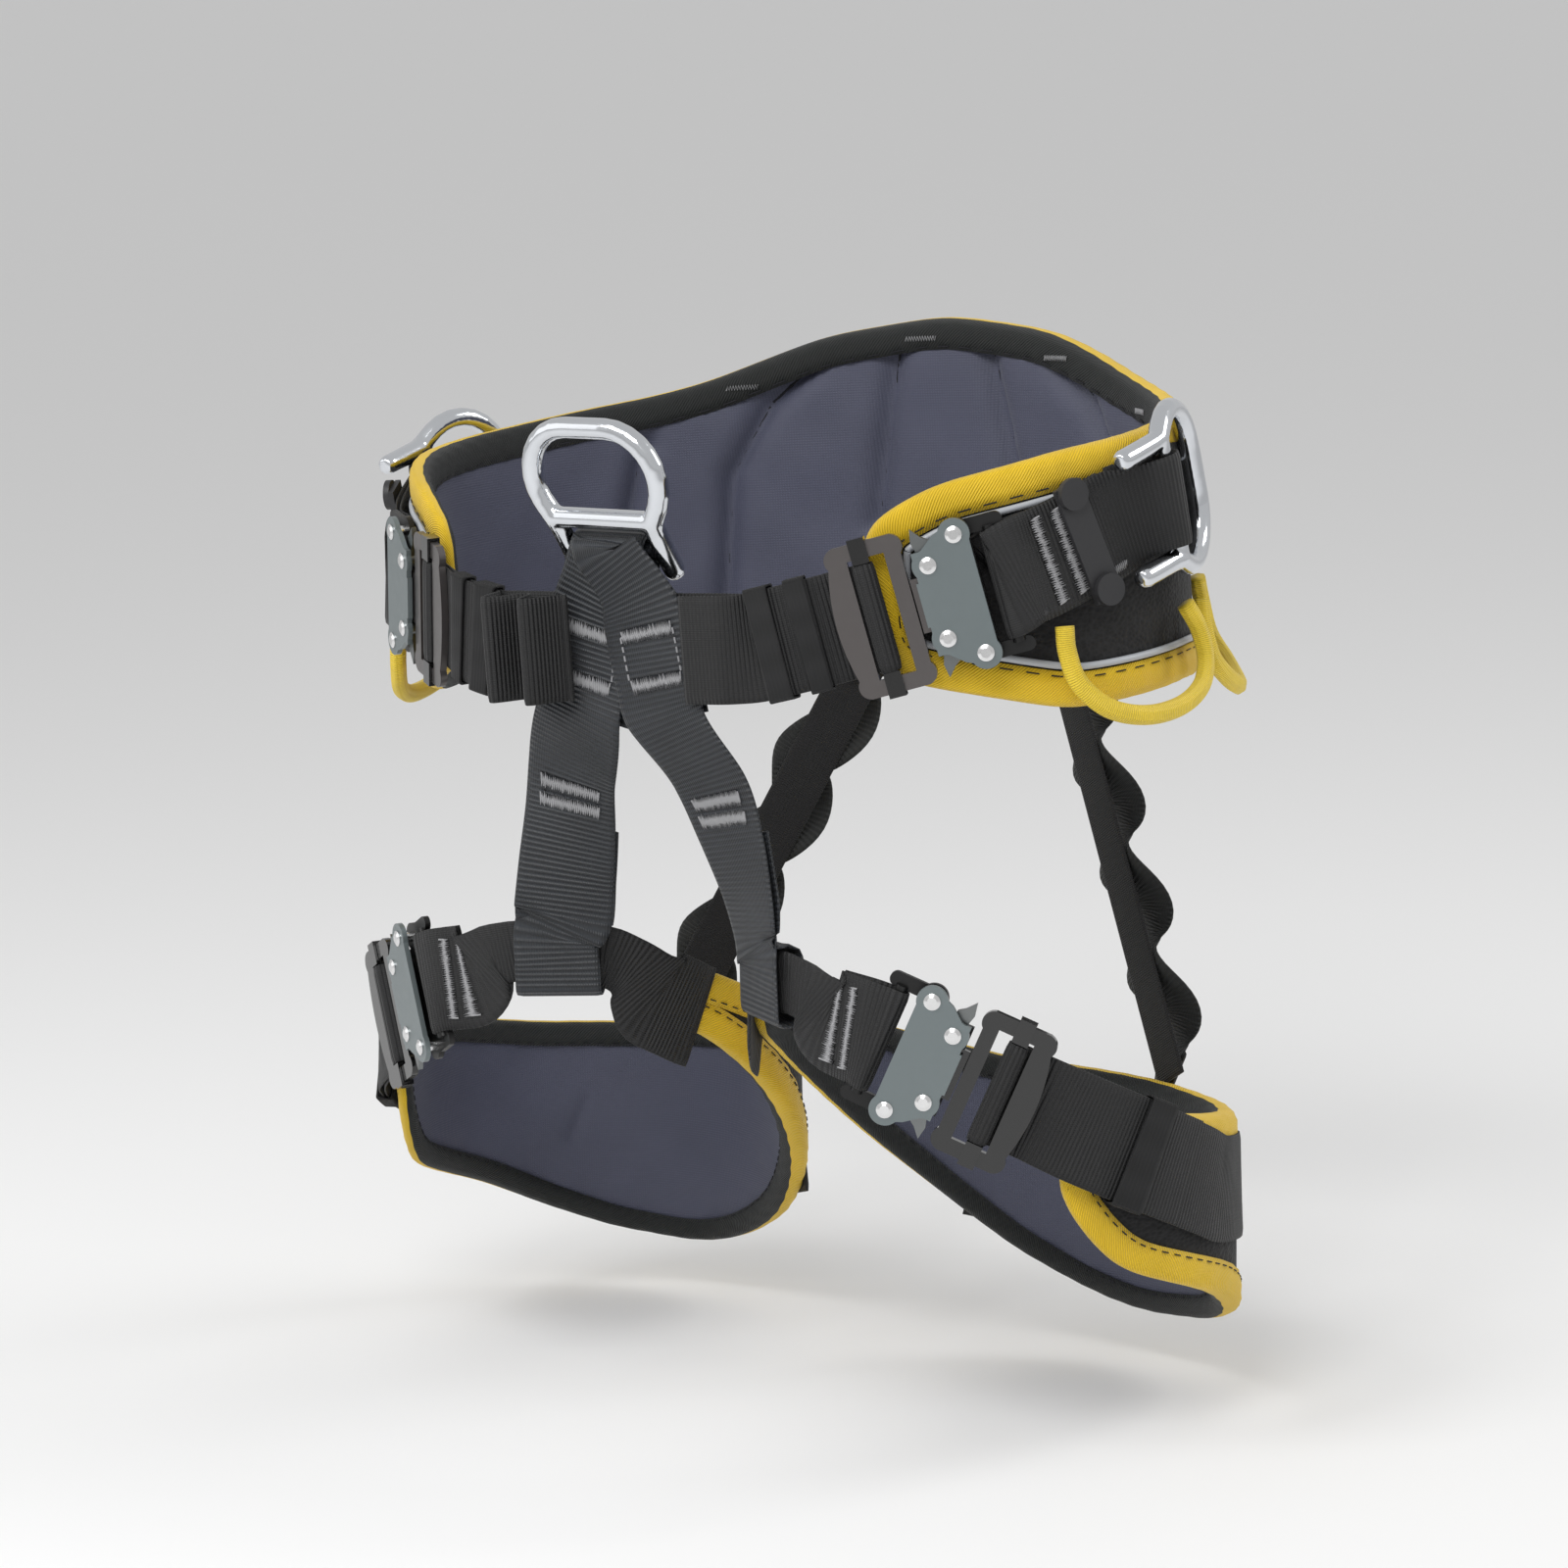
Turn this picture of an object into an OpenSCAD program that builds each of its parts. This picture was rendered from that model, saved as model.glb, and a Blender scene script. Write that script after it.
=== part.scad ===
// Tree climbing saddle: padded waist belt, ventral D-ring, bridge straps and two leg loops.
// +Z is up, the wearer faces -Y and the wearer's left is +X. The origin is the waist centre,
// level with the front belt strap. Left-hand parts are modelled and mirrored for the right.

/* [Waist] */
// Half width of the waist opening, lining to lining, in X
waist_a = 170; // [168:1:174]
// Half depth of the waist opening, lining to lining, in Y
waist_b = 119; // [117:1:122]
// Degrees that the belt hangs out of level, left side up
waist_tilt = 2.3; // [0:0.1:3]
// Thickness of the waist pad
pad_t = 11; // [9:1:11]

/* [Legs] */
// Sideways distance from the middle to each leg loop's centre
leg_x = 106; // [105:1:110]
// Half length of a leg loop's oval, at the inner face of its strap
leg_a = 98; // [96:1:99]
// Half width of the same oval
leg_b = 88; // [86:1:90]
// Thickness of a leg pad
leg_t = 10; // [8:1:10]

/* [Webbing] */
// Width of the load-bearing webbing
web_w = 44; // [40:1:44]
// Thickness of the load-bearing webbing
web_t = 1.6; // [1.4:0.1:1.6]

/* [Rings] */
// Diameter of the round stock in the three D-rings
ring_d = 9; // [8:0.5:9]

/* [Hidden] */

$fn = 48;
gap = 0.3;              // clearance between separate layers
ring_r = ring_d / 2;

// ---- Belt line: the surface that the belt straps lie on, run along by s in mm ----
// s = 0 is the buckle's centre; s grows toward the side ring and falls toward the front.
belt_h0 = 15;                       // from the pad's lining face to the belt surface
base_a = waist_a + belt_h0;
base_b = waist_b + belt_h0;
side_t = -31;                       // ellipse angle where the straight part ends at the side
side_s = 22;                        // that place's distance along the belt
side_lift = 1.5;
side_rate = 2.45;                   // mm of belt for a degree, beyond the straight part
side_z = 22;                        // strap's height there
ring_z = 46;                        // strap's height at the side ring
chord_a = 30;                       // heading of the straight part, from the X axis
front_s = -52;                      // where the straight part ends at the front
bend_a = 25;                        // the belt then turns this much on a short radius,
bend_r = 55;
front_a = chord_a - bend_a;         // and the rest on a long one
z_flat_s = -84;                     // in front of this the belt is level

function unit(v) = v / norm(v);
function mix(a, b, f) = a + (b - a) * f;
function clamp01(f) = max(0, min(1, f));
function smooth(f) = let (c = clamp01(f)) c * c * (3 - 2 * c);
function ell_n(t) = unit([cos(t) / base_a, sin(t) / base_b, 0]);
function ell_p(t, h) = [base_a * cos(t), base_b * sin(t), 0] + h * ell_n(t);

side_p = ell_p(side_t, side_lift);
chord_d = [cos(chord_a), sin(chord_a), 0];
chord_n = [sin(chord_a), -cos(chord_a), 0];
front_p = side_p - (side_s - front_s) * chord_d;
bend_len = bend_r * bend_a * PI / 180;
bend_p = front_p - bend_r * [sin(chord_a) - sin(front_a), cos(front_a) - cos(chord_a), 0];
long_r = bend_p[0] / sin(front_a);
centre_s = front_s - bend_len - long_r * front_a * PI / 180;
centre_y = bend_p[1] - long_r * (1 - cos(front_a));

function belt_t(s) = side_t + (s - side_s) / side_rate;
function belt_lift(s) = side_lift * (1 - smooth((s - side_s) / 35));
// Heading of the belt in front of its straight part.
function front_head(s) = let (d = front_s - s)
    d < bend_len ? chord_a - d / bend_r * 180 / PI
    : front_a - (d - bend_len) / long_r * 180 / PI;
function belt_n(s) =
    s > side_s ? unit(mix(chord_n, ell_n(belt_t(s)), smooth((s - side_s) / 25)))
    : s < front_s ? [sin(front_head(s)), -cos(front_head(s)), 0]
    : chord_n;
function belt_xy(s) = s > side_s ? ell_p(belt_t(s), belt_lift(s))
    : s > front_s ? front_p + (s - front_s) * chord_d
    : let (a = front_head(s))
      s > front_s - bend_len
      ? front_p - bend_r * [sin(chord_a) - sin(a), cos(a) - cos(chord_a), 0]
      : bend_p - long_r * [sin(front_a) - sin(a), cos(a) - cos(front_a), 0];
function belt_z(s) = s < side_s ? side_z * max(0, s - z_flat_s) / (side_s - z_flat_s)
    : mix(side_z, ring_z, smooth((s - side_s + 20) / 110) * 1.1);
function belt_p(s, h, y = 0) = belt_xy(s) + [0, 0, belt_z(s)] + h * belt_n(s) + y * belt_up(s);
function belt_dir(s) = unit(belt_xy(s + 1) + [0, 0, belt_z(s + 1)]
    - belt_xy(s - 1) - [0, 0, belt_z(s - 1)]);
function belt_up(s) = unit(cross(belt_n(s), belt_dir(s)));
belt_k = norm([belt_dir(0)[0], belt_dir(0)[1]]);    // s for each mm along the sloping buckle

// ---- Leg line: the same idea round the left thigh ----
leg_y = -20;
leg_turn = 45;                      // direction of the oval's long axis
leg_phi_in = 274;                   // angle where the straight part ends toward the crotch
leg_phi_out = 318;
leg_s_in = 22;
leg_rate = 1.65;                    // mm of strap for a degree
leg_heights = [[203, -169], [226, -146], [249, -143], [274, -151], [318, -183], [350, -211],
    [375, -232], [400, -240], [430, -258], [470, -260], [510, -242], [541, -205], [565, -171]];

function leg_phi(s) = s > leg_s_in ? leg_phi_in - (s - leg_s_in) / leg_rate
    : leg_phi_out + (leg_s_out - s) / leg_rate;
function leg_oval(phi) = let (c = cos(phi - leg_turn), d = sin(phi - leg_turn))
    leg_a * leg_b / norm([leg_b * c, leg_a * d]);
function leg_oval_n(phi) = let (c = cos(phi - leg_turn) * leg_b / leg_a,
    d = sin(phi - leg_turn) * leg_a / leg_b)
    unit([c * cos(leg_turn) - d * sin(leg_turn), c * sin(leg_turn) + d * cos(leg_turn), 0]);
function leg_arc(phi, h) = [leg_x, leg_y, 0] + leg_oval(phi) * [cos(phi), sin(phi), 0]
    + h * leg_oval_n(phi);
leg_in_p = leg_arc(leg_phi_in, 0);
leg_out_p = leg_arc(leg_phi_out, 1);
leg_chord = norm(leg_out_p - leg_in_p);
leg_s_out = leg_s_in - leg_chord;
leg_chord_n = let (d = unit(leg_out_p - leg_in_p)) [d[1], -d[0], 0];
function leg_grow(s) = 1 + 3.3 * smooth((leg_s_out - s) / 30);
function leg_n(s) = let (n = leg_oval_n(leg_phi(s)))
    s > leg_s_in ? unit(mix(leg_chord_n, n, smooth((s - leg_s_in) / 25)))
    : s < leg_s_out ? unit(mix(leg_chord_n, n, smooth((leg_s_out - s) / 25)))
    : leg_chord_n;
function leg_xy(s) = s > leg_s_in ? leg_arc(leg_phi(s), 0)
    : s < leg_s_out ? leg_arc(leg_phi(s), leg_grow(s))
    : mix(leg_out_p, leg_in_p, (s - leg_s_out) / leg_chord);
function leg_z(s) = s <= leg_s_in && s >= leg_s_out
    ? mix(lookup(leg_phi_out, leg_heights), lookup(leg_phi_in, leg_heights),
          (s - leg_s_out) / leg_chord)
    : lookup(leg_phi(s), leg_heights);
function leg_dir(s) = unit(leg_xy(s + 1) + [0, 0, leg_z(s + 1)]
    - leg_xy(s - 1) - [0, 0, leg_z(s - 1)]);
function leg_up(s) = unit(cross(leg_n(s), leg_dir(s)));
leg_k = norm([leg_dir(0)[0], leg_dir(0)[1]]);
function leg_p(s, h, y = 0) = leg_xy(s) + [0, 0, leg_z(s)] + h * leg_n(s) + y * leg_up(s);

// ---- Layer heights above the belt surface ----
strap_h = web_t / 2;                // middle of the strap that lies on the belt surface
tail_h = 1.5 * web_t + gap;         // middle of the tail on top of it
frame_h = 3.8;                      // underside of an adjuster frame
frame_t = 3;
tongue_t = 2.4;
base_h = 0.4;                       // underside of a buckle's base plate
base_t = 2.5;
plate_h = 7;                        // underside of a buckle's front plate
plate_t = 2.2;
bar_s = 20;                         // buckle's webbing bar, from the buckle's centre
bar_h = 3;
bar_r = 2.5;
ring_s = 94;                        // side ring's bar, from the buckle's centre
ring_h = 9;
rivet_r = 2.2;
rivets = [[6.5, 24.3], [-6.5, 15]];
slider_s = -32;                     // slider bar's middle, from the buckle's centre

// ---- Shared shapes ----
// Strip through stations [point, width direction, width if not w], w wide and t thick.
module ribbon(st, w, t) {
    n = len(st);
    tan = [for (i = [0:n - 1]) unit(st[min(n - 1, i + 1)][0] - st[max(0, i - 1)][0])];
    rings = [for (i = [0:n - 1])
        let (u = unit(st[i][1] - (st[i][1] * tan[i]) * tan[i]), k = cross(tan[i], u))
        for (c = [[-1, -1], [-1, 1], [1, 1], [1, -1]])
        st[i][0] + c[0] * (len(st[i]) > 2 ? st[i][2] : w) / 2 * u + c[1] * t / 2 * k];
    sweep(rings, n, 4);
}

// Closes n rings of m points each into a solid.
module sweep(rings, n, m) {
    sides = [for (i = [0:n - 2], j = [0:m - 1])
        let (k = (j + 1) % m, a = i * m + j, b = i * m + k, c = a + m, d = b + m)
        each [[a, b, d], [a, d, c]]];
    ends = [for (j = [1:m - 2]) each [[0, j + 1, j], [(n - 1) * m, (n - 1) * m + j, (n - 1) * m + j + 1]]];
    polyhedron(points = rings, faces = concat(sides, ends));
}

// A closed loop of n rings of m points each.
module loop_sweep(rings, n, m) {
    polyhedron(points = rings, faces = [for (i = [0:n - 1], j = [0:m - 1])
        let (p = (i + 1) % n, k = (j + 1) % m, a = i * m + j, b = i * m + k, c = p * m + j, d = p * m + k)
        each [[a, b, d], [a, d, c]]]);
}

module mirrored() {
    mirror([1, 0, 0]) children();
}

// Everything on the belt hangs slightly out of level.
module waist() {
    rotate([0, -waist_tilt, 0]) children();
}

module both() {
    children();
    mirrored() children();
}

// Rows of a matrix that carries local x, y, z onto a line's direction, up and outward at s.
function frame_at(p, x, y, z) = [
    [x[0], y[0], z[0], p[0]], [x[1], y[1], z[1], p[1]], [x[2], y[2], z[2], p[2]], [0, 0, 0, 1]];

module on_belt(s = 0) {
    multmatrix(frame_at(belt_p(s, 0), belt_dir(s), belt_up(s), cross(belt_dir(s), belt_up(s))))
        children();
}

module on_leg(s = 0) {
    multmatrix(frame_at(leg_p(s, 0), leg_dir(s), leg_up(s), cross(leg_dir(s), leg_up(s))))
        children();
}

// Straightens the difference between lengths along a sloping line and along s.
function scaled(path, k) = [for (q = path) [q[0] * k, q[1]]];

// Arc of points [s, h] round a bar, for a strap that wraps it.
function wrap(s, h, r, a0, a1, n) = [for (i = [0:n]) let (a = mix(a0, a1, i / n))
    [s + r * cos(a), h + r * sin(a)]];

module belt_ribbon(path, w = web_w, t = web_t) {
    ribbon([for (q = path) [belt_p(q[0], q[1]), belt_up(q[0]), len(q) > 2 ? q[2] : w]], w, t);
}

module leg_ribbon(path, w = web_w, t = web_t) {
    ribbon([for (q = path) let (f = loop_share(q[0]))
        [leg_p(q[0], q[1]) + [0, 0, f * loop_lift], leg_up(q[0]), mix(w, loop_w, f)]], w, t);
}

// How far the leg strap is squeezed by the bridge strap's loop.
function loop_share(s) = smooth((40 - abs(s - loop_s)) / 12);

// ---- Pads ----
// Waist pad outline: angle from the middle of the back to height.
pad_end = 141;
pad_tops = [[0, 111], [20, 104], [40, 86], [50, 81], [77, 74], [108, 69], [130, 60], [pad_end, 46]];
pad_bots = [[0, -50], [50, -36], [77, -30], [110, -32], [136, -16], [pad_end, -8]];
edge = 6;                           // how far the binding covers a pad's edge
pad_cols = 36;
leg_cols = 26;
leg_tops = [[-37, -208], [-30, -194], [-16, -190], [10, -200], [37, -209], [60, -211], [90, -208],
    [117, -204], [150, -188], [181, -165], [200, -150], [213, -145]];
leg_bots = [[-37, -218], [-30, -236], [-20, -253], [-5, -262], [16, -275], [37, -293], [55, -305],
    [77, -310], [90, -307], [103, -299], [118, -286], [134, -266], [159, -232], [181, -200],
    [200, -176], [213, -166]];

// Share of the full thickness, thinner toward the two front ends.
function pad_share(a) = 1 - 0.5 * smooth((abs(a) - 95) / 46);
function pad_q(a, q) = q * pad_share(a);
// Point of the waist pad: a degrees from the back, f from bottom to top, q out from the lining.
function pad_p(a, f, q, e) =
    let (lim = pad_end - e / 2.8, b = max(-lim, min(lim, a)), t = 90 - b,
         n = unit([cos(t) / waist_a, sin(t) / waist_b, 0]),
         z = mix(lookup(abs(b), pad_bots) + e, lookup(abs(b), pad_tops) - e, f))
    [waist_a * cos(t), waist_b * sin(t), z] + pad_q(b, q) * n;
leg_end = [-37, 213];
function leg_pad_p(a, f, q, e) =
    let (b = max(leg_end[0] + e / 1.7, min(leg_end[1] - e / 1.7, a)),
         z = mix(lookup(b, leg_bots) + e, lookup(b, leg_tops) - e, f),
         share = 1 - 0.35 * smooth((b - 160) / 40) - 0.45 * smooth((10 - b) / 40))
    leg_arc(b, share * q - 6.6) + [0, 0, z];

function pad_point(leg, a, f, q, e) = leg ? leg_pad_p(a, f, q, e) : pad_p(a, f, q, e);
function pad_range(leg) = leg ? leg_end : [-pad_end, pad_end];

// One layer of a pad between depths q0 and q1, set back from its edge.
module pad_layer(leg, q0, q1) {
    n = leg ? leg_cols : pad_cols;
    r = pad_range(leg);
    flip = leg ? 1 : 0;
    rings = [for (i = [0:n]) let (a = flip ? mix(r[0], r[1], i / n) : mix(r[1], r[0], i / n))
        for (c = [[0, q0], [0, q1], [1, q1], [1, q0]])
        pad_point(leg, a, c[0], c[1], edge + gap)];
    sweep(rings, n + 1, 4);
}

// The folded tape round a pad's whole edge.
module pad_binding(leg, q0, q1) {
    n = leg ? leg_cols : pad_cols;
    r = pad_range(leg);
    ends = [0.2, 0.5, 0.8];
    walk = concat([for (i = [0:n]) [mix(r[0], r[1], i / n), 0]],
        [for (f = ends) [r[1], f]],
        [for (i = [n:-1:0]) [mix(r[0], r[1], i / n), 1]],
        [for (f = [0.8, 0.5, 0.2]) [r[0], f]]);
    rings = [for (w = walk)
        each [pad_point(leg, w[0], w[1], q0, 0), pad_point(leg, w[0], w[1], q0, edge),
              pad_point(leg, w[0], w[1], q1, edge), pad_point(leg, w[0], w[1], q1, 0)]];
    if (leg)
        loop_sweep([for (i = [len(walk) - 1:-1:0], j = [0:3]) rings[i * 4 + j]], len(walk), 4);
    else
        loop_sweep(rings, len(walk), 4);
}

module waist_pad_lining() {
    color([0.29, 0.30, 0.37]) pad_layer(false, 0.2, 1.4);
}

module waist_pad_foam() {
    color([0.5, 0.5, 0.5]) pad_layer(false, 1.6, pad_t - 2);
}

module waist_pad_shell() {
    color([0.08, 0.08, 0.08]) pad_layer(false, pad_t - 1.8, pad_t - 0.2);
}

module waist_pad_binding() {
    color([0.9, 0.75, 0.05]) pad_binding(false, 0, pad_t);
}

module leg_cushion() {
    color([0.33, 0.34, 0.42]) pad_layer(true, 0.2, leg_t - 2);
}

module leg_shell() {
    color([0.08, 0.08, 0.08]) pad_layer(true, leg_t - 1.8, leg_t - 0.2);
}

module leg_binding() {
    color([0.9, 0.75, 0.05]) pad_binding(true, 0, leg_t);
}

// ---- Belt and side straps ----
webbing_black = [0.06, 0.06, 0.06];

module belt_webbing() {
    // Sewn to the outside of the pad, from one side ring to the other round the back.
    n = 24;
    color(webbing_black) ribbon([for (i = [0:n]) let (t = mix(-2, 182, i / n),
        s = t < 90 ? t : 180 - t)
        [ell_p(t, -3.3) + [0, 0, ring_z - 18 * smooth((s + 5) / 80)], [0, 0, 1]]], web_w, web_t);
}

// Runs from the buckle's bar to the side ring's bar and back, sewn to itself.
module side_strap() {
    wrap_b = bar_r + gap + web_t / 2;
    wrap_r = ring_r + 0.8 + web_t / 2;
    low = ring_h - wrap_r;
    path = concat([for (s = [70:-6:22]) [s, -0.9]],
        scaled(wrap(bar_s, bar_h, wrap_b, -90, -270, 8), belt_k),
        [[27, 4.6], [34, 1.9]], [for (s = [40:6:70]) [s, 1.6]],
        [[78, 5, 39], [86, 11.4, 38]],
        [for (q = wrap(ring_s, ring_h, wrap_r, 115, -95, 9)) [q[0], q[1], 38]],
        [[88, low - 1.2, 38], [80, -0.9, 42], [74, -0.9]]);
    color(webbing_black) belt_ribbon(path);
}

// From below one adjuster's slider bar round the front to the other.
module front_strap() {
    n = 6;
    half = concat([for (s = [slider_s + 4, -46, -52, -58, -64, -70, -76]) [s, strap_h]],
        [for (i = [2:n]) [mix(front_s - bend_len, centre_s, i / n), strap_h]]);
    left = [for (q = half) belt_p(q[0], q[1])];
    m = len(half);
    right = [for (i = [m - 2:-1:0]) let (p = left[i]) [-p[0], p[1], p[2]]];
    ups = concat([for (q = half) belt_up(q[0])],
        [for (i = [m - 2:-1:0]) let (u = belt_up(half[i][0])) [-u[0], u[1], u[2]]]);
    pts = concat(left, right);
    color(webbing_black) ribbon([for (i = [0:len(pts) - 1]) [pts[i], ups[i]]], web_w, web_t);
}

// Elastic bands that hold a tail on its strap, as flat tubes.
module keeper(s0, s1, top) {
    wall = 1;
    y_in = web_w / 2 + 0.5;
    translate([s0, 0, 0]) rotate([90, 0, 90]) linear_extrude(s1 - s0) difference() {
        translate([-y_in - wall, -0.5 - wall]) square([2 * (y_in + wall), top + 1 + 2 * wall - 0.5]);
        translate([-y_in, -0.5]) square([2 * y_in, top + 0.5]);
    }
}

module belt_keepers() {
    color([0.1, 0.1, 0.1]) both() {
        on_belt(-59) keeper(-4, 4, 4.6);
        on_belt(-75) keeper(-5, 5, 5);
    }
}

// Moulded clip across the side strap, with a lobe at each end for the ring's arms to rest on.
module ring_keeper() {
    on_belt(ring_s - 40) {
        translate([-6.5, -25, 2.6]) cube([13, 50, 2.4]);
        for (side = [-1, 1])
            translate([0, side * 21, 5]) cylinder(r = 6.5, h = 2.6);
    }
}

module ring_keepers() {
    color([0.12, 0.12, 0.12]) both() ring_keeper();
}

// ---- Bridge straps ----
// Stations from the front of the belt down to the left leg loop: [x, y, z, turn of the width].
lean = 33;                          // of the ventral ring's arms, tips toward the body
bar_step = 15.2;                    // between the ring's bare bar and the one in the straps
bridge_top = [0, centre_y - 1.8, 40.5];
loop_s = 81;                        // where the strap goes round the leg strap,
loop_w = 26;                        // which is squeezed to this width there
loop_lift = 8;                      // and lifted by this much
bridge_mid = [[36, -111, -55, -4], [42, -106.5, -78, -12], [47, -104.5, -100, -22],
    [50.5, -104, -120, -29]];
lap = 3.2;                          // between the front layer and the one sewn behind it

function tilted(p) = [p[0], p[1], p[2] + p[0] * tan(waist_tilt)];

// Up behind the belt, over the ring's bar with radius r, down in front, round the leg strap
// and up behind itself. side is 1 for the left strap.
module bridge_strap(side, r, back_h, front_h) {
    narrow = 35.5;
    toe_width = 36;
    by = bridge_top[1];
    bz = bridge_top[2];
    belt_part = concat(
        [[19, centre_y - back_h, -30], [17, centre_y - back_h, -20],
         [12, centre_y - back_h, 6], [0, centre_y - back_h - 0.2, 26, narrow]],
        [for (i = [0:8]) let (a = 180 * i / 8) [0, by + r * cos(a), bz + r * sin(a), narrow]],
        [[9, centre_y - front_h - 1, 25, 37], [14, centre_y - front_h, 12],
         [20, centre_y - front_h, -16], [24, centre_y - front_h + 0.5, -30]]);
    n_leg = leg_n(loop_s);
    foot = leg_p(loop_s, 0);
    half = loop_w / 2 + 0.6;
    mid = loop_lift;
    toe = [[3.8, mid + 8], [3.8, mid - 6], [3.6, mid - half - 1.4], [1.8, mid - half - 3],
        [0, mid - half - 3.6], [-3.4, mid - half - 3.2], [-7.3, mid - half], [-7.9, mid + 12]];
    toe_w = [-n_leg[1], n_leg[0], 0];
    st = concat([for (p = belt_part)
            let (q = tilted([p[0] * side, p[1], p[2]])) [q, [1, 0, 0], len(p) > 3 ? p[3] : web_w - 2]],
        [for (m = bridge_mid) [[m[0] * side, m[1], m[2]], [cos(m[3]), sin(m[3]) * side, 0], web_w - 2]],
        [for (q = toe) let (p = foot + q[0] * n_leg + [0, 0, q[1]])
            [[p[0] * side, p[1], p[2]], [toe_w[0], toe_w[1] * side, 0], toe_width]],
        [for (i = [3, 2, 1]) let (m = bridge_mid[i])
            [[(m[0] - lap * sin(m[3])) * side, m[1] + lap * cos(m[3]), m[2]],
             [cos(m[3]), sin(m[3]) * side, 0], web_w - 2]]);
    color([0.12, 0.13, 0.15]) ribbon(st, web_w, web_t - 0.1);
}

// ---- Hardware ----
// Outline of the buckle's front plate: four riveted lobes, wider on the webbing side.
module plate_outline() {
    lobe = 6.5;
    square([24, 42], center = true);
    translate([-13, -9]) square([4, 18]);
    for (m = [0, 1]) mirror([0, m]) {
        for (p = rivets) translate(p) circle(lobe);
        polygon([[12, 18], [12, 24], [3, 28], [-2, 26], [-12, 18], [-12, 10], [0, 8]]);
    }
}

module rivet_holes(r) {
    for (m = [0, 1]) mirror([0, m]) for (p = rivets) translate(p) circle(r);
}

module buckle_plate() {
    color([0.38, 0.42, 0.42]) translate([0, 0, plate_h]) linear_extrude(plate_t) difference() {
        plate_outline();
        rivet_holes(rivet_r + 0.05);
    }
}

// Dark back plate with two arms that carry the webbing bar.
module buckle_base() {
    color([0.25, 0.25, 0.25]) {
        translate([0, 0, base_h]) linear_extrude(base_t) difference() {
            union() {
                translate([-13, -20]) square([25, 40]);
                for (m = [0, 1]) mirror([0, m]) {
                    for (p = rivets) translate(p) circle(6);
                    translate([4, 22.4]) square([19, 6.2]);
                    translate([23, 25.5]) circle(3.1);
                }
            }
            rivet_holes(rivet_r + 0.05);
        }
        translate([bar_s, 0, bar_h]) rotate([90, 0, 0]) cylinder(r = bar_r, h = 48, center = true);
    }
}

module rivet(z0, z1) {
    translate([0, 0, z0 - 1]) cylinder(r = 3.2, h = 0.95);
    translate([0, 0, z0 - 0.1]) cylinder(r = rivet_r, h = z1 - z0 + 0.2);
    translate([0, 0, z1 + 0.05]) cylinder(r = 3.4, h = 0.5);
    translate([0, 0, z1 + 0.55]) cylinder(r1 = 3.4, r2 = 2, h = 0.7);
}

module buckle_rivets() {
    color([0.8, 0.8, 0.8]) for (m = [0, 1]) mirror([0, m, 0]) for (p = rivets)
        translate([p[0], p[1], 0]) rivet(base_h, plate_h + plate_t);
}

// Release lever: a pointed tab outside the plate and a hook beside the tongue.
module lever(side) {
    color([0.45, 0.45, 0.45]) mirror([0, side > 0 ? 0 : 1, 0])
        translate([rivets[1][0], rivets[1][1], frame_h + 0.1]) linear_extrude(2.2) difference() {
            union() {
                circle(3.6);
                translate([0, -3.4]) square([6.2, 2.2]);
                intersection() {
                    polygon([[-2, 0], [-4.8, 10], [-3.8, 15.5], [-0.4, 11.5], [2.4, 9.5], [3.2, 1]]);
                    translate([-9, 0.5]) square([14, 16]);
                }
            }
            circle(rivet_r + 0.06);
        }
}

// Flat frame with a window for the webbing and the tongue that enters the buckle.
module adjuster(tone) {
    x0 = -46.5;
    x1 = -14.5;
    window_y = web_w / 2 + 2.4;
    color(tone) translate([0, 0, frame_h]) {
        linear_extrude(frame_t) difference() {
            union() {
                translate([x0 + 4, -31]) square([x1 - x0 - 8, 62]);
                translate([x0 + 1.5, -28]) square([x1 - x0 - 3, 56]);
                for (p = [x0 + 5, x1 - 5], q = [-26, 26]) translate([p, q]) circle(5);
                intersection() {
                    translate([x0 - 3, -28]) square([12, 56]);
                    translate([x0 + 88, 0]) circle(90, $fn = 96);
                }
            }
            translate([-37.6, -window_y]) square([15.2, 2 * window_y]);
        }
        linear_extrude(tongue_t) {
            translate([x1 - 1, -11]) square([12, 22]);
            translate([x1 + 10.9, -8]) square([3, 16]);
            for (q = [-8, 8]) translate([x1 + 10.9, q]) circle(3);
        }
    }
}

// Bar that lies in the window, clamped round the frame's two sides.
module slider() {
    y_in = web_w / 2 + 0.4;
    color([0.2, 0.2, 0.2]) translate([slider_s, 0, 0]) {
        translate([-2.5, -y_in - 1, frame_h + 0.1]) cube([5, 2 * y_in + 2, 2.8]);
        for (m = [0, 1]) mirror([0, m, 0]) {
            translate([-3.5, y_in, 2.5]) cube([7, 1.6, 5.6]);
            translate([-3.5, y_in, 2.5]) cube([7, 9.6, 1.1]);
            translate([-3.5, y_in, 7]) cube([7, 9.6, 1.1]);
            translate([-3.5, y_in + 9, 2.5]) cube([7, 1.2, 5.6]);
        }
    }
}

// Webbing round the slider bar: up on its buckle side, over it and out below the frame's rail.
slider_wrap = [[-31.6, 2.75], [-29.4, 3.2], [-28.3, 4.4], [-28.3, 6.2], [-29.6, 7.5],
    [-32, 7.9], [-34.4, 7.5], [-35.7, 6.2], [-35.7, 4.4], [-36.6, 3.2], [-38.4, tail_h]];
tail_end = -113;

module waist_tail_left() {
    color(webbing_black) belt_ribbon(concat(scaled(slider_wrap, belt_k),
        [for (s = [-46:-6:-82]) [s, tail_h + 0.5 * smooth((-46 - s) / 6)]],
        [[-89, 6.6], [-96, 9], [-105, 9.2], [tail_end, 9.4]]));
}

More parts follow.
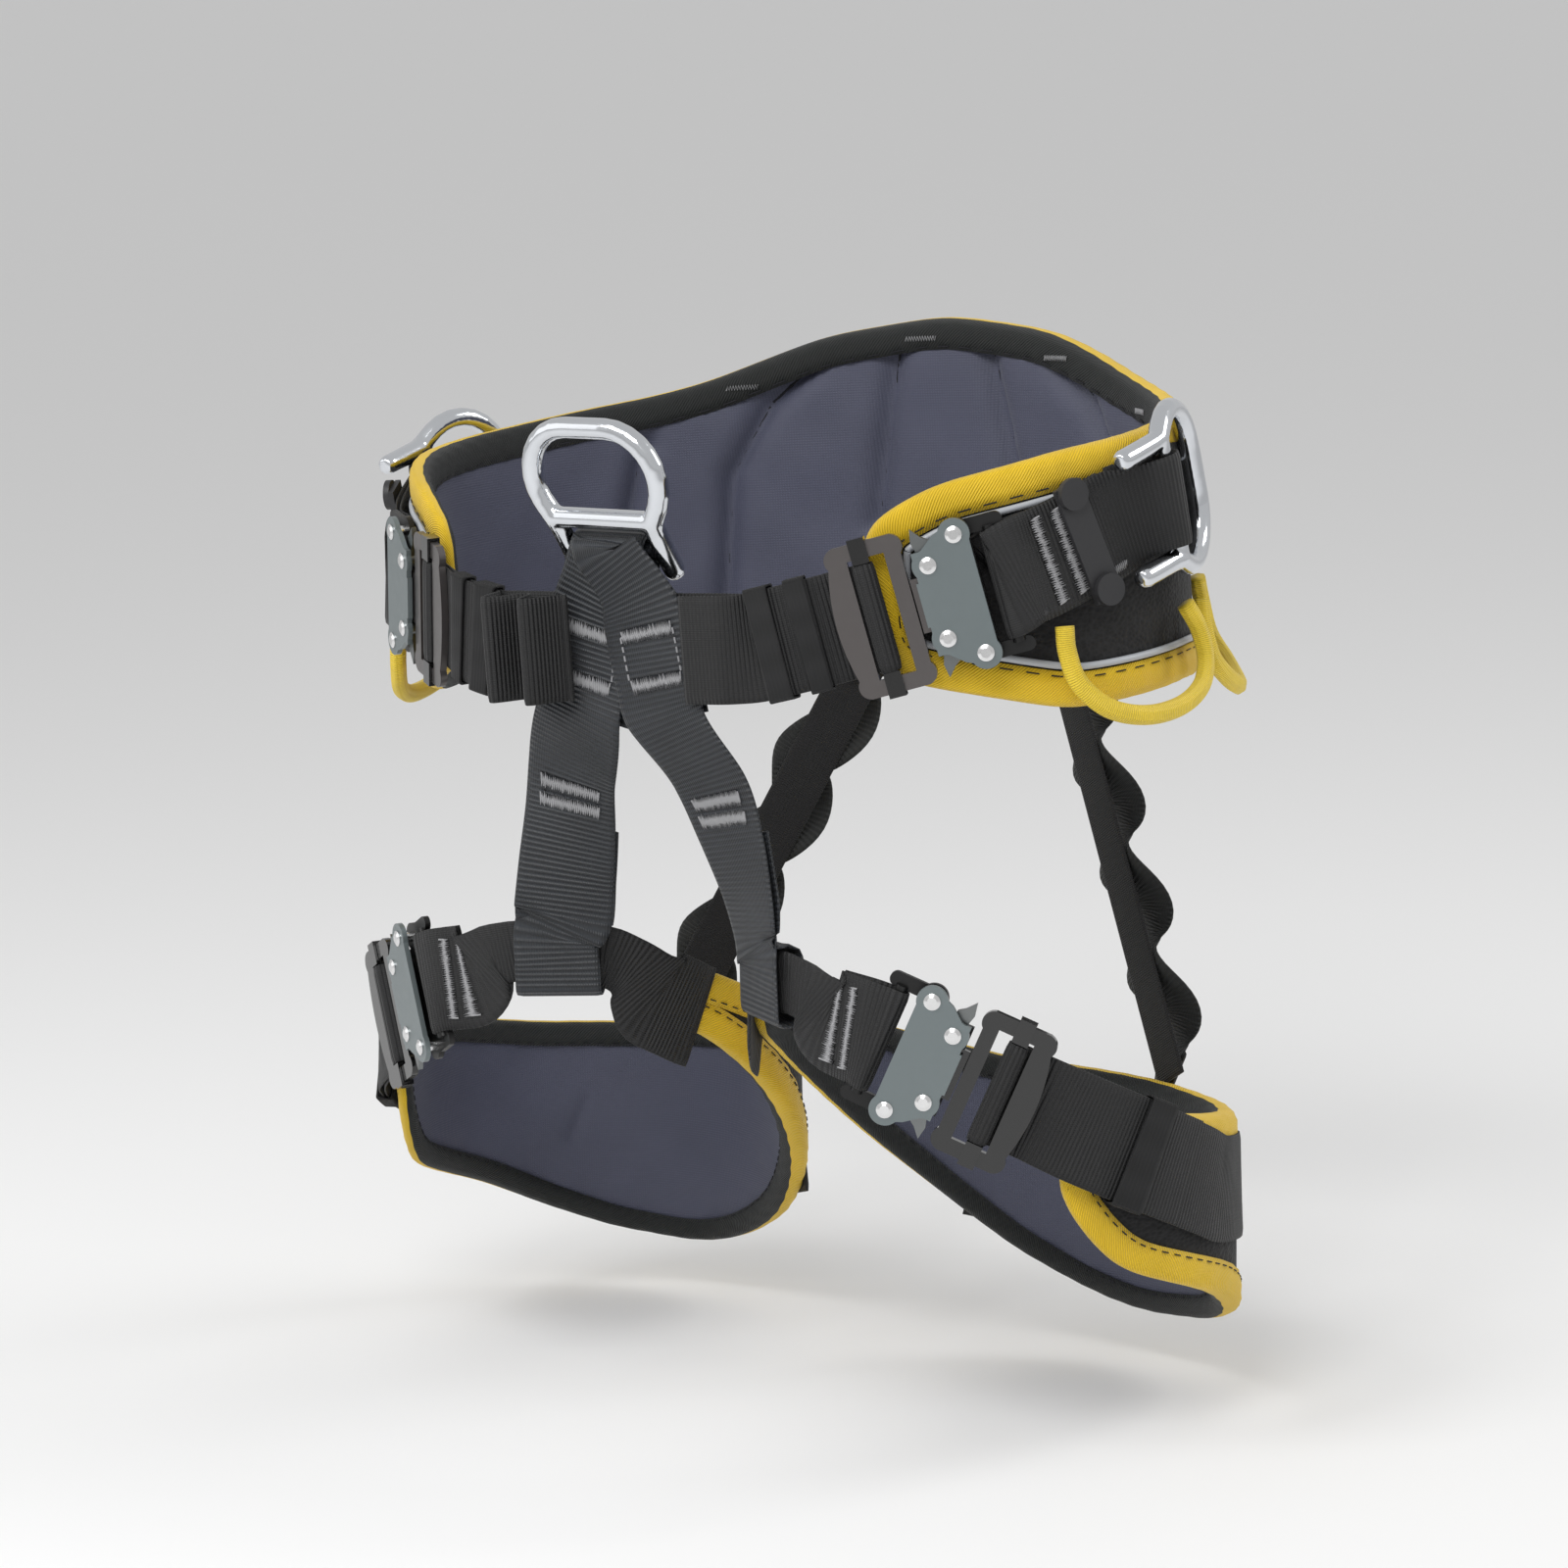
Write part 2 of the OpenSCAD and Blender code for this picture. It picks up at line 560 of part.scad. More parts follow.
// The other tail is long and gathered in folds in front of its keepers.
fold_height = 17;
module waist_tail_right() {
    folds = [for (s = [-83:-3:-128]) let (a = (s + 83) * 360 / 22)
        [s, 3.7 + 0.12 * (-83 - s) + fold_height / 2 * (1 - cos(a)) * smooth((-82 - s) / 8)]];
    color(webbing_black) mirrored() belt_ribbon(concat(scaled(slider_wrap, belt_k),
        [for (s = [-46:-6:-82]) [s, tail_h + 0.5 * smooth((-46 - s) / 6)]], folds));
}

// ---- D-rings ----
// Local frame: bar along y, arm tips toward -x in the plane z = 0, and the bow toward +x,
// bent down by bow_bend. The bow is two corner arcs joined by a straight top.
arm_y = 24.5;
tip_x = -26;
bow_bend = 19;
corner_x = 17;
corner_y = 10;
corner_r = 22;
flare_a = 28;                       // slope of the two sides between the arms and the bow

function bent(p) = [p[0] * cos(bow_bend), p[1], -p[0] * sin(bow_bend)];
corner_end = [corner_x - corner_r * sin(flare_a), corner_y + corner_r * cos(flare_a)];
flare_foot = [corner_end[0] - (corner_end[1] - arm_y) / tan(flare_a), arm_y];
half_path = concat([[tip_x - ring_r * 0.6, arm_y, 0], [tip_x, arm_y, 0], [-6, arm_y, 0]],
    [bent([flare_foot[0] + 2, arm_y + 0.6]), bent(corner_end)],
    [for (i = [1:8]) let (a = (90 + flare_a) * (1 - i / 8))
        bent([corner_x + corner_r * cos(a), corner_y + corner_r * sin(a)])]);

module bar(x, r) {
    translate([x, 0, 0]) rotate([90, 0, 0]) cylinder(r = r, h = 2 * arm_y, center = true);
}

module d_ring(second) {
    m = 16;
    k = len(half_path);
    path = concat(half_path, [for (i = [k - 1:-1:0]) let (p = half_path[i]) [p[0], -p[1], p[2]]]);
    n = len(path);
    rings = [for (i = [0:n - 1])
        let (t = unit(path[min(n - 1, i + 1)] - path[max(0, i - 1)]),
             v = unit(cross(t, [sin(bow_bend / 2), 0, cos(bow_bend / 2)])), w = cross(t, v),
             r = i == 0 || i == n - 1 ? ring_r * 0.75 : ring_r)
        for (j = [0:m - 1]) let (a = 360 * j / m) path[i] + r * (cos(a) * v - sin(a) * w)];
    color([0.82, 0.83, 0.85]) {
        sweep(rings, n, m);
        bar(0, ring_r - 0.2);
        if (second)
            bar(-bar_step, ring_r - 0.6);
    }
}

// The ventral ring stands up from the straps; its bow leans forward less than its arms.
module ventral_ring() {
    up = [0, -sin(lean), cos(lean)];
    translate(tilted(bridge_top) + bar_step * up)
        multmatrix(frame_at([0, 0, 0], up, [-1, 0, 0], [0, -cos(lean), -sin(lean)])) d_ring(true);
}

module side_ring_left() {
    on_belt(ring_s) translate([0, 0, ring_h]) d_ring(false);
}

// ---- Gear loops ----
loop_d = 8;
// Hand-placed routes of the left loops: [s, height, out from the belt surface].
gear_front = [[41, 2, 5], [41, -8, 6], [44, -21, 8], [54, -32, 11], [70, -37, 13], [88, -36, 14],
    [103, -30, 13], [111, -20, 11], [112, -8, 8], [108, 2, 5]];
gear_back = [[124, 2, 5], [123, -8, 6], [126, -22, 8], [136, -32, 11], [152, -38, 13],
    [170, -38, 13], [186, -32, 12], [196, -22, 9], [198, -8, 7], [196, 2, 5]];

module gear_loop(route) {
    m = 8;
    pts = [for (q = route) belt_xy(q[0]) + q[2] * belt_n(q[0]) + [0, 0, q[1]]];
    n = len(pts);
    rings = [for (i = [0:n - 1])
        let (t = unit(pts[min(n - 1, i + 1)] - pts[max(0, i - 1)]),
             k = belt_n(route[i][0]), u = unit(cross(t, k)), v = cross(u, t))
        for (j = [0:m - 1]) let (a = 360 * j / m)
        pts[i] + loop_d / 2 * (cos(a) * u + sin(a) * v)];
    sweep(rings, n, m);
}

module gear_loops() {
    color([0.93, 0.8, 0.2]) both() {
        gear_loop(gear_front);
        gear_loop(gear_back);
    }
}

// ---- Leg straps ----
module leg_inner_strap() {
    wrap_b = bar_r + gap + web_t / 2;
    path = concat([for (s = [50:-5:25]) [s, -0.9]],
        scaled(wrap(bar_s, bar_h, wrap_b, -90, -270, 8), leg_k),
        [[26, 4.6], [34, 1.8]], [for (s = [40:4:140]) [s, strap_h]]);
    color(webbing_black) leg_ribbon(path);
}

module leg_outer_strap() {
    path = concat([[-28, strap_h], [leg_s_out, strap_h]],
        [for (s = [-65:-12:-329]) [s, strap_h]]);
    color(webbing_black) leg_ribbon(path);
}

module leg_keeper() {
    color([0.1, 0.1, 0.1]) on_leg(-88) keeper(-6, 6, 5.4);
}

module leg_tail() {
    color(webbing_black) leg_ribbon(concat(scaled(slider_wrap, leg_k), [[-42, tail_h], [leg_s_out, tail_h + 0.1]],
        [for (s = [-62:-10:-112]) [s, tail_h + 0.4 * smooth((-54 - s) / 10)]]));
}

// ---- Rear straps ----
rear_top = [52, 124, -39];
rear_low = [134, 76, -208];
waves = 4;

// Straight elastic in front, with a longer webbing behind it that stands off in waves.
module rear_strap() {
    n = 32;
    d = rear_low - rear_top;
    across = unit(cross(d, [0.45, 1, 0]));
    back = unit(cross(across, unit(d)));
    out = back[1] > 0 ? back : -back;
    color([0.07, 0.07, 0.07]) {
        ribbon([for (f = [0, 1]) [rear_top + f * d, across]], 22, 1.5);
        ribbon([for (i = [0:n]) let (f = i / n)
            [rear_top + f * d + (8 - 6 * cos(360 * waves * f)) * out + 8 * sin(360 * waves * f) * across,
            across]], 28, 1.3);
    }
}

module waist_buckle_plates() { both() on_belt() buckle_plate(); }
module waist_buckle_bases() { both() on_belt() buckle_base(); }
module waist_buckle_rivets() { both() on_belt() buckle_rivets(); }

gunmetal = [0.36, 0.33, 0.32];
gloss_black = [0.05, 0.05, 0.05];

waist() waist_pad_lining();
waist() waist_pad_foam();
waist() waist_pad_shell();
waist() waist_pad_binding();
waist() belt_webbing();
waist() side_strap();  // side_strap_left
waist() mirrored() side_strap();  // side_strap_right
waist() front_strap();
waist() belt_keepers();
waist() ring_keepers();
bridge_strap(1, 7.75, -2.75, 4.95);  // bridge_strap_left
bridge_strap(-1, 5.95, -0.95, 2.95);  // bridge_strap_right
waist() gear_loops();
waist() waist_buckle_plates();
waist() waist_buckle_bases();
waist() waist_buckle_rivets();
waist() on_belt() adjuster(gunmetal);  // waist_adjuster_left
waist() mirrored() on_belt() adjuster(gunmetal);  // waist_adjuster_right
waist() on_belt() slider();  // waist_slider_left
waist() mirrored() on_belt() slider();  // waist_slider_right
waist() waist_tail_left();
waist() waist_tail_right();
waist() on_belt() lever(1);  // waist_lever_left_upper
waist() on_belt() lever(-1);  // waist_lever_left_lower
waist() mirrored() on_belt() lever(1);  // waist_lever_right_upper
waist() mirrored() on_belt() lever(-1);  // waist_lever_right_lower
ventral_ring();
waist() side_ring_left();
waist() mirrored() side_ring_left();  // side_ring_right
leg_cushion();  // leg_cushion_left
leg_shell();  // leg_shell_left
leg_binding();  // leg_binding_left
leg_inner_strap();  // leg_inner_strap_left
leg_outer_strap();  // leg_outer_strap_left
leg_keeper();  // leg_keeper_left
on_leg() buckle_plate();  // leg_buckle_plate_left
on_leg() buckle_base();  // leg_buckle_base_left
on_leg() buckle_rivets();  // leg_buckle_rivets_left
on_leg() adjuster(gloss_black);  // leg_adjuster_left
on_leg() slider();  // leg_slider_left
leg_tail();  // leg_tail_left
on_leg() lever(-1);  // leg_lever_left_upper
on_leg() lever(1);  // leg_lever_left_lower
mirrored() leg_cushion();  // leg_cushion_right
mirrored() leg_shell();  // leg_shell_right
mirrored() leg_binding();  // leg_binding_right
mirrored() leg_inner_strap();  // leg_inner_strap_right
mirrored() leg_outer_strap();  // leg_outer_strap_right
mirrored() leg_keeper();  // leg_keeper_right
mirrored() on_leg() buckle_plate();  // leg_buckle_plate_right
mirrored() on_leg() buckle_base();  // leg_buckle_base_right
mirrored() on_leg() buckle_rivets();  // leg_buckle_rivets_right
mirrored() on_leg() adjuster(gloss_black);  // leg_adjuster_right
mirrored() on_leg() slider();  // leg_slider_right
mirrored() leg_tail();  // leg_tail_right
mirrored() on_leg() lever(-1);  // leg_lever_right_upper
mirrored() on_leg() lever(1);  // leg_lever_right_lower
rear_strap();  // rear_strap_left
mirrored() rear_strap();  // rear_strap_right
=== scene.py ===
import math

import bpy
import numpy as np
from mathutils import Matrix, Vector


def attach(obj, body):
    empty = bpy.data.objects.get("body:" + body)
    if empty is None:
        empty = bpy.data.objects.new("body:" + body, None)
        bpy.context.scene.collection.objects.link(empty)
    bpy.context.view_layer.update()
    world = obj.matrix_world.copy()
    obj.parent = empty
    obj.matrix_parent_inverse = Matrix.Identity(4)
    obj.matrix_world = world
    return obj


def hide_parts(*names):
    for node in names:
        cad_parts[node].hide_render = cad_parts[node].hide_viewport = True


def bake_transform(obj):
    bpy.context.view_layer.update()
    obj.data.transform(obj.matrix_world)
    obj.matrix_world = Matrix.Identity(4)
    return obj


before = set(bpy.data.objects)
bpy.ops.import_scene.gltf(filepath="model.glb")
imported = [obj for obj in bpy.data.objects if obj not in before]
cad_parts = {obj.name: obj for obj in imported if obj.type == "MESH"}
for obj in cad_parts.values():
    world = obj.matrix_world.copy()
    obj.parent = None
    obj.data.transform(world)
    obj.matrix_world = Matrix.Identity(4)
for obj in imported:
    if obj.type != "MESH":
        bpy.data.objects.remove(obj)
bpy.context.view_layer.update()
MM = 0.001

# ---------------------------------------------------------------- belt and leg lines, as in the CAD, in mm
WAIST_A, WAIST_B, PAD_T, LEG_T, TILT = 170, 119, 11, 10, math.radians(2.3)
BASE_A, BASE_B = WAIST_A + 15, WAIST_B + 15


def unit(v):
    v = np.asarray(v, float)
    return v / max(1e-9, np.linalg.norm(v))


def smooth(f):
    f = min(1.0, max(0.0, f))
    return f * f * (3 - 2 * f)


def cs(a):
    return math.cos(math.radians(a)), math.sin(math.radians(a))


def ell_n(t):
    c, s = cs(t)
    return unit([c / BASE_A, s / BASE_B, 0])


def ell_p(t, h):
    c, s = cs(t)
    return np.array([BASE_A * c, BASE_B * s, 0]) + h * ell_n(t)


CH, BEND, BEND_R, FRONT_S, SIDE_S = 30, 25, 55, -52, 22
FRONT_A = CH - BEND
SIDE_P = ell_p(-31, 1.5)
CHORD_D = np.array([*cs(CH), 0])
CHORD_N = np.array([CHORD_D[1], -CHORD_D[0], 0])
FRONT_P = SIDE_P - (SIDE_S - FRONT_S) * CHORD_D
BEND_LEN = BEND_R * math.radians(BEND)
BEND_P = FRONT_P - BEND_R * np.array([cs(CH)[1] - cs(FRONT_A)[1], cs(FRONT_A)[0] - cs(CH)[0], 0])
LONG_R = BEND_P[0] / cs(FRONT_A)[1]
CENTRE_S = FRONT_S - BEND_LEN - LONG_R * math.radians(FRONT_A)
CENTRE_Y = BEND_P[1] - LONG_R * (1 - cs(FRONT_A)[0])


def belt_head(s):
    d = FRONT_S - s
    return CH - math.degrees(d / BEND_R) if d < BEND_LEN else FRONT_A - math.degrees((d - BEND_LEN) / LONG_R)


def belt_n(s):
    if s > SIDE_S:
        f = smooth((s - SIDE_S) / 25)
        return unit(CHORD_N * (1 - f) + ell_n(-31 + (s - SIDE_S) / 2.45) * f)
    if s < FRONT_S:
        c, d = cs(belt_head(s))
        return np.array([d, -c, 0])
    return CHORD_N


def belt_xy(s):
    if s > SIDE_S:
        return ell_p(-31 + (s - SIDE_S) / 2.45, 1.5 * (1 - smooth((s - SIDE_S) / 35)))
    if s > FRONT_S:
        return FRONT_P + (s - FRONT_S) * CHORD_D
    c, d = cs(belt_head(s))
    if s > FRONT_S - BEND_LEN:
        return FRONT_P - BEND_R * np.array([cs(CH)[1] - d, c - cs(CH)[0], 0])
    return BEND_P - LONG_R * np.array([cs(FRONT_A)[1] - d, c - cs(FRONT_A)[0], 0])


def belt_z(s):
    if s < SIDE_S:
        return 22 * max(0, s + 84) / 106
    return 22 + 24 * smooth((s - SIDE_S + 20) / 110) * 1.1


LEG_C = np.array([106, -20, 0])
LEG_HEIGHTS = np.array([[203, -169], [226, -146], [249, -143], [274, -151], [318, -183], [350, -211],
                        [375, -232], [400, -240], [430, -258], [470, -260], [510, -242], [541, -205],
                        [565, -171]], float)


def leg_oval(phi):
    c, d = cs(phi - 45)
    return 98 * 88 / math.hypot(88 * c, 98 * d)


def leg_oval_n(phi):
    c, d = cs(phi - 45)
    c, d = c * 88 / 98, d * 98 / 88
    r = math.sqrt(0.5)
    return unit([c * r - d * r, c * r + d * r, 0])


def leg_arc(phi, h):
    return LEG_C + leg_oval(phi) * np.array([*cs(phi), 0]) + h * leg_oval_n(phi)


LEG_IN, LEG_OUT = leg_arc(274, 0), leg_arc(318, 1)
LEG_CHORD = np.linalg.norm(LEG_OUT - LEG_IN)
LEG_S_OUT = 22 - LEG_CHORD
LEG_CD = unit(LEG_OUT - LEG_IN)
LEG_CN = np.array([LEG_CD[1], -LEG_CD[0], 0])


def leg_phi(s):
    return 274 - (s - 22) / 1.65 if s > 22 else 318 + (LEG_S_OUT - s) / 1.65


def leg_n(s):
    if LEG_S_OUT <= s <= 22:
        return LEG_CN
    f = smooth((s - 22) / 25 if s > 22 else (LEG_S_OUT - s) / 25)
    return unit(LEG_CN * (1 - f) + leg_oval_n(leg_phi(s)) * f)


def leg_xy(s):
    if s > 22:
        return leg_arc(leg_phi(s), 0)
    if s < LEG_S_OUT:
        return leg_arc(leg_phi(s), 1 + 3.3 * smooth((LEG_S_OUT - s) / 30))
    f = (s - LEG_S_OUT) / LEG_CHORD
    return LEG_OUT * (1 - f) + LEG_IN * f


def heights(phi):
    return float(np.interp(phi, LEG_HEIGHTS[:, 0], LEG_HEIGHTS[:, 1]))


def leg_z(s):
    if LEG_S_OUT <= s <= 22:
        f = (s - LEG_S_OUT) / LEG_CHORD
        return heights(318) * (1 - f) + heights(274) * f
    return heights(leg_phi(s))


class Line:
    """A strap's line: its point, outward normal, direction and up at each s."""

    def __init__(self, xy, z, n):
        self.xy, self.z, self.n = xy, z, n

    def at(self, s):
        return self.xy(s) + np.array([0, 0, self.z(s)])

    def dir(self, s):
        return unit(self.at(s + 1) - self.at(s - 1))

    def up(self, s):
        return unit(np.cross(self.n(s), self.dir(s)))

    def p(self, s, h=0, y=0):
        return self.at(s) + h * self.n(s) + y * self.up(s)


belt = Line(belt_xy, belt_z, belt_n)
leg = Line(leg_xy, leg_z, leg_n)
BELT_K = float(np.linalg.norm(belt.dir(0)[:2]))
LEG_K = float(np.linalg.norm(leg.dir(0)[:2]))
ROT = np.array([[math.cos(TILT), 0, -math.sin(TILT)], [0, 1, 0], [math.sin(TILT), 0, math.cos(TILT)]])
SIDES = (("left", 1), ("right", -1))


def waist(p):
    return np.asarray(p, float) @ ROT.T


# ---------------------------------------------------------------- materials
def material(name, color, rough=0.6, metal=0.0, build=None, sheen=0.0, coat=0.0):
    m = bpy.data.materials.new(name)
    m.use_nodes = True
    nt = m.node_tree
    b = nt.nodes["Principled BSDF"]
    b.inputs["Base Color"].default_value = (*color, 1)
    b.inputs["Roughness"].default_value = rough
    b.inputs["Metallic"].default_value = metal
    b.inputs["Sheen Weight"].default_value = sheen
    b.inputs["Sheen Roughness"].default_value = 0.4
    b.inputs["Coat Weight"].default_value = coat
    if build:
        build(nt, b, color)
    return m


def math_node(nt, op, a, b=None):
    n = nt.nodes.new("ShaderNodeMath")
    n.operation = op
    for i, v in enumerate((a, b)):
        if v is None:
            continue
        if isinstance(v, (int, float)):
            n.inputs[i].default_value = v
        else:
            nt.links.new(v, n.inputs[i])
    return n.outputs[0]


def uv_mm(nt):
    uv = nt.nodes.new("ShaderNodeUVMap")
    uv.uv_map = "mm"
    sep = nt.nodes.new("ShaderNodeSeparateXYZ")
    nt.links.new(uv.outputs[0], sep.inputs[0])
    return sep.outputs[0], sep.outputs[1]


def noise(nt, scale, detail=3, coord=None):
    n = nt.nodes.new("ShaderNodeTexNoise")
    n.inputs["Scale"].default_value = scale
    n.inputs["Detail"].default_value = detail
    if coord is None:
        coord = nt.nodes.new("ShaderNodeTexCoord").outputs["Object"]
    nt.links.new(coord, n.inputs["Vector"])
    return n.outputs[0]


def ramp(nt, fac, low, high, a=0.0, b=1.0):
    r = nt.nodes.new("ShaderNodeValToRGB")
    r.color_ramp.elements[0].position = a
    r.color_ramp.elements[1].position = b
    r.color_ramp.elements[0].color = (*low, 1)
    r.color_ramp.elements[1].color = (*high, 1)
    nt.links.new(fac, r.inputs[0])
    return r.outputs[0]


def bump(nt, b, height, dist, strength=1.0):
    n = nt.nodes.new("ShaderNodeBump")
    n.inputs["Strength"].default_value = strength
    n.inputs["Distance"].default_value = dist
    nt.links.new(height, n.inputs["Height"])
    nt.links.new(n.outputs[0], b.inputs["Normal"])


def wave(nt, x, pitch):
    return math_node(nt, "ADD", math_node(nt, "MULTIPLY", math_node(
        nt, "SINE", math_node(nt, "MULTIPLY", x, 2 * math.pi / pitch)), 0.5), 0.5)


def dim(c, f):
    return tuple(min(1, x * f) for x in c)


def webbing_nodes(rib, across, depth, contrast=0.45):
    def build(nt, b, color):
        x, y = uv_mm(nt)
        ribs = wave(nt, x, rib)
        fine = wave(nt, y, across)
        h = math_node(nt, "ADD", ribs, math_node(nt, "MULTIPLY", fine, 0.25))
        n = noise(nt, 60)
        tone = math_node(nt, "ADD", math_node(nt, "MULTIPLY", ribs, 0.55), math_node(nt, "MULTIPLY", n, 0.55))
        mixed = ramp(nt, tone, dim(color, 1 - contrast), dim(color, 1 + contrast), 0.15, 0.95)
        nt.links.new(mixed, b.inputs["Base Color"])
        bump(nt, b, h, depth * MM)
    return build


def weave_nodes(pitch, depth, contrast=0.2, twill=False):
    def build(nt, b, color):
        x, y = uv_mm(nt)
        if twill:
            d = math_node(nt, "ADD", x, y)
            h = wave(nt, d, pitch)
        else:
            h = math_node(nt, "MULTIPLY", wave(nt, x, pitch), wave(nt, y, pitch))
        n = noise(nt, 25)
        tone = math_node(nt, "ADD", math_node(nt, "MULTIPLY", h, 0.5), math_node(nt, "MULTIPLY", n, 0.6))
        mixed = ramp(nt, tone, dim(color, 1 - contrast), dim(color, 1 + contrast), 0.15, 0.9)
        nt.links.new(mixed, b.inputs["Base Color"])
        bump(nt, b, h, depth * MM)
    return build


def mesh_nodes(nt, b, color):
    x, y = uv_mm(nt)
    v = nt.nodes.new("ShaderNodeTexVoronoi")
    v.inputs["Scale"].default_value = 1.0
    c = nt.nodes.new("ShaderNodeCombineXYZ")
    nt.links.new(math_node(nt, "MULTIPLY", x, 0.42), c.inputs[0])
    nt.links.new(math_node(nt, "MULTIPLY", y, 0.62), c.inputs[1])
    nt.links.new(c.outputs[0], v.inputs["Vector"])
    nt.links.new(ramp(nt, v.outputs["Distance"], dim(color, 0.4), dim(color, 1.7), 0.1, 0.7), b.inputs["Base Color"])
    bump(nt, b, v.outputs["Distance"], 0.5 * MM)


def metal_nodes(scale, lo, hi, depth=0.03):
    def build(nt, b, color):
        n = noise(nt, scale, 5)
        r = nt.nodes.new("ShaderNodeMapRange")
        r.inputs["To Min"].default_value, r.inputs["To Max"].default_value = lo, hi
        nt.links.new(n, r.inputs[0])
        nt.links.new(r.outputs[0], b.inputs["Roughness"])
        bump(nt, b, noise(nt, scale * 3, 2), depth * MM, 0.4)
    return build


BLACK = (0.0055, 0.0055, 0.006)
WEB = material("webbing_black", BLACK, 0.62, build=webbing_nodes(1.75, 0.9, 0.42), sheen=0.05)
BRIDGE = material("webbing_bridge", (0.0115, 0.014, 0.018), 0.42, build=webbing_nodes(2.3, 1.1, 0.6, 0.6), sheen=0.1)
ELASTIC = material("elastic_black", (0.005, 0.005, 0.0055), 0.78, build=webbing_nodes(1.0, 1.6, 0.3), sheen=0.05)
REAR = material("webbing_rear", (0.0055, 0.0065, 0.006), 0.62, build=webbing_nodes(1.6, 1.0, 0.35), sheen=0.05)
LINING = material("lining", (0.062, 0.066, 0.104), 0.6, build=weave_nodes(1.1, 0.14, 0.18), sheen=0.12)
SHELL = material("shell_mesh", (0.006, 0.006, 0.0065), 0.85, build=mesh_nodes, sheen=0.05)
YELLOW = material("binding_yellow", (0.72, 0.47, 0.004), 0.6, build=weave_nodes(1.5, 0.3, 0.22, True), sheen=0.15)
TAPE = material("binding_black", (0.006, 0.0075, 0.007), 0.72, build=weave_nodes(1.5, 0.3, 0.45, True), sheen=0.08)
PIPING = material("piping_grey", (0.42, 0.44, 0.47), 0.35)
THREAD = material("thread_grey", (0.3, 0.3, 0.31), 0.6)
# Dark material for the real black thread, also used for the painted crease shadow lines along the lining's channels.
DARK_THREAD_AND_CREASE_SHADE = material("dark_thread_and_crease_shade", (0.006, 0.006, 0.01), 0.7)
CORD = material("gear_cord", (0.80, 0.58, 0.03), 0.55, build=webbing_nodes(0.9, 1.75, 0.35, 0.25), sheen=0.15)
RUBBER = material("rubber", (0.022, 0.022, 0.024), 0.5, build=metal_nodes(300, 0.42, 0.6, 0.06))
ALLOY = material("ring_alloy", (0.66, 0.68, 0.71), 0.12, 1, metal_nodes(120, 0.07, 0.2, 0.02))
PLATE = material("plate_green", (0.17, 0.20, 0.205), 0.36, 0.55, metal_nodes(180, 0.28, 0.45, 0.03), coat=0.2)
BASE = material("base_dark", (0.03, 0.03, 0.03), 0.35, 0.8, metal_nodes(180, 0.28, 0.45))
RIVET = material("rivet_steel", (0.74, 0.74, 0.74), 0.22, 1, metal_nodes(400, 0.15, 0.3))
LEVER = material("lever_steel", (0.2, 0.21, 0.21), 0.33, 1, metal_nodes(300, 0.25, 0.4))
GUN = material("adjuster_gunmetal", (0.12, 0.11, 0.108), 0.32, 0.75, metal_nodes(250, 0.25, 0.4), coat=0.3)
GLOSS = material("adjuster_black", (0.008, 0.008, 0.008), 0.13, 0.2, metal_nodes(90, 0.08, 0.2), coat=0.6)


# ---------------------------------------------------------------- mesh helpers
def new_object(name, verts, faces, mats, face_mat=None, uv=None, smooth_faces=True):
    me = bpy.data.meshes.new(name)
    me.from_pydata([tuple(float(c) * MM for c in v) for v in verts], [], faces)
    for m in mats:
        me.materials.append(m)
    if face_mat is not None:
        me.polygons.foreach_set("material_index", np.asarray(face_mat, np.int32))
    if uv is not None:
        layer = me.uv_layers.new(name="mm")
        loops = np.empty(len(me.loops), np.int32)
        me.loops.foreach_get("vertex_index", loops)
        layer.data.foreach_set("uv", np.asarray(uv, np.float32)[loops].ravel())
    me.polygons.foreach_set("use_smooth", np.full(len(me.polygons), smooth_faces))
    me.validate()
    me.update()
    o = bpy.data.objects.new(name, me)
    bpy.context.scene.collection.objects.link(o)
    return o


def grid_faces(n, m, closed_m=False, closed_n=False, base=0):
    out = []
    for i in range(n if closed_n else n - 1):
        for j in range(m if closed_m else m - 1):
            a, b = base + i * m + j, base + i * m + (j + 1) % m
            c, d = base + ((i + 1) % n) * m + (j + 1) % m, base + ((i + 1) % n) * m + j
            out.append((a, b, c, d))
    return out


def catmull(rows, step):
    """Rows of numbers, the first three a point, resampled along a smooth curve every step mm."""
    r = np.asarray(rows, float)
    keep = [0]
    for i in range(1, len(r)):
        if np.linalg.norm(r[i, :3] - r[keep[-1], :3]) > 1e-3:
            keep.append(i)
    r = r[keep]
    d = np.linalg.norm(np.diff(r[:, :3], axis=0), axis=1)
    k = np.concatenate([[0], np.cumsum(np.maximum(d, 1e-3) ** 0.75)])
    out = [r[0]]
    for i in range(len(r) - 1):
        p0, p1, p2, p3 = r[max(0, i - 1)], r[i], r[i + 1], r[min(len(r) - 1, i + 2)]
        t0, t1, t2, t3 = k[max(0, i - 1)], k[i], k[i + 1], k[min(len(r) - 1, i + 2)]
        m1 = (p2 - p0) / (t2 - t0) * (t2 - t1)
        m2 = (p3 - p1) / (t3 - t1) * (t2 - t1)
        n = max(1, int(round(d[i] / step)))
        for j in range(1, n + 1):
            u = j / n
            out.append((2 * u**3 - 3 * u**2 + 1) * p1 + (u**3 - 2 * u**2 + u) * m1
                       + (-2 * u**3 + 3 * u**2) * p2 + (u**3 - u**2) * m2)
    return np.array(out)


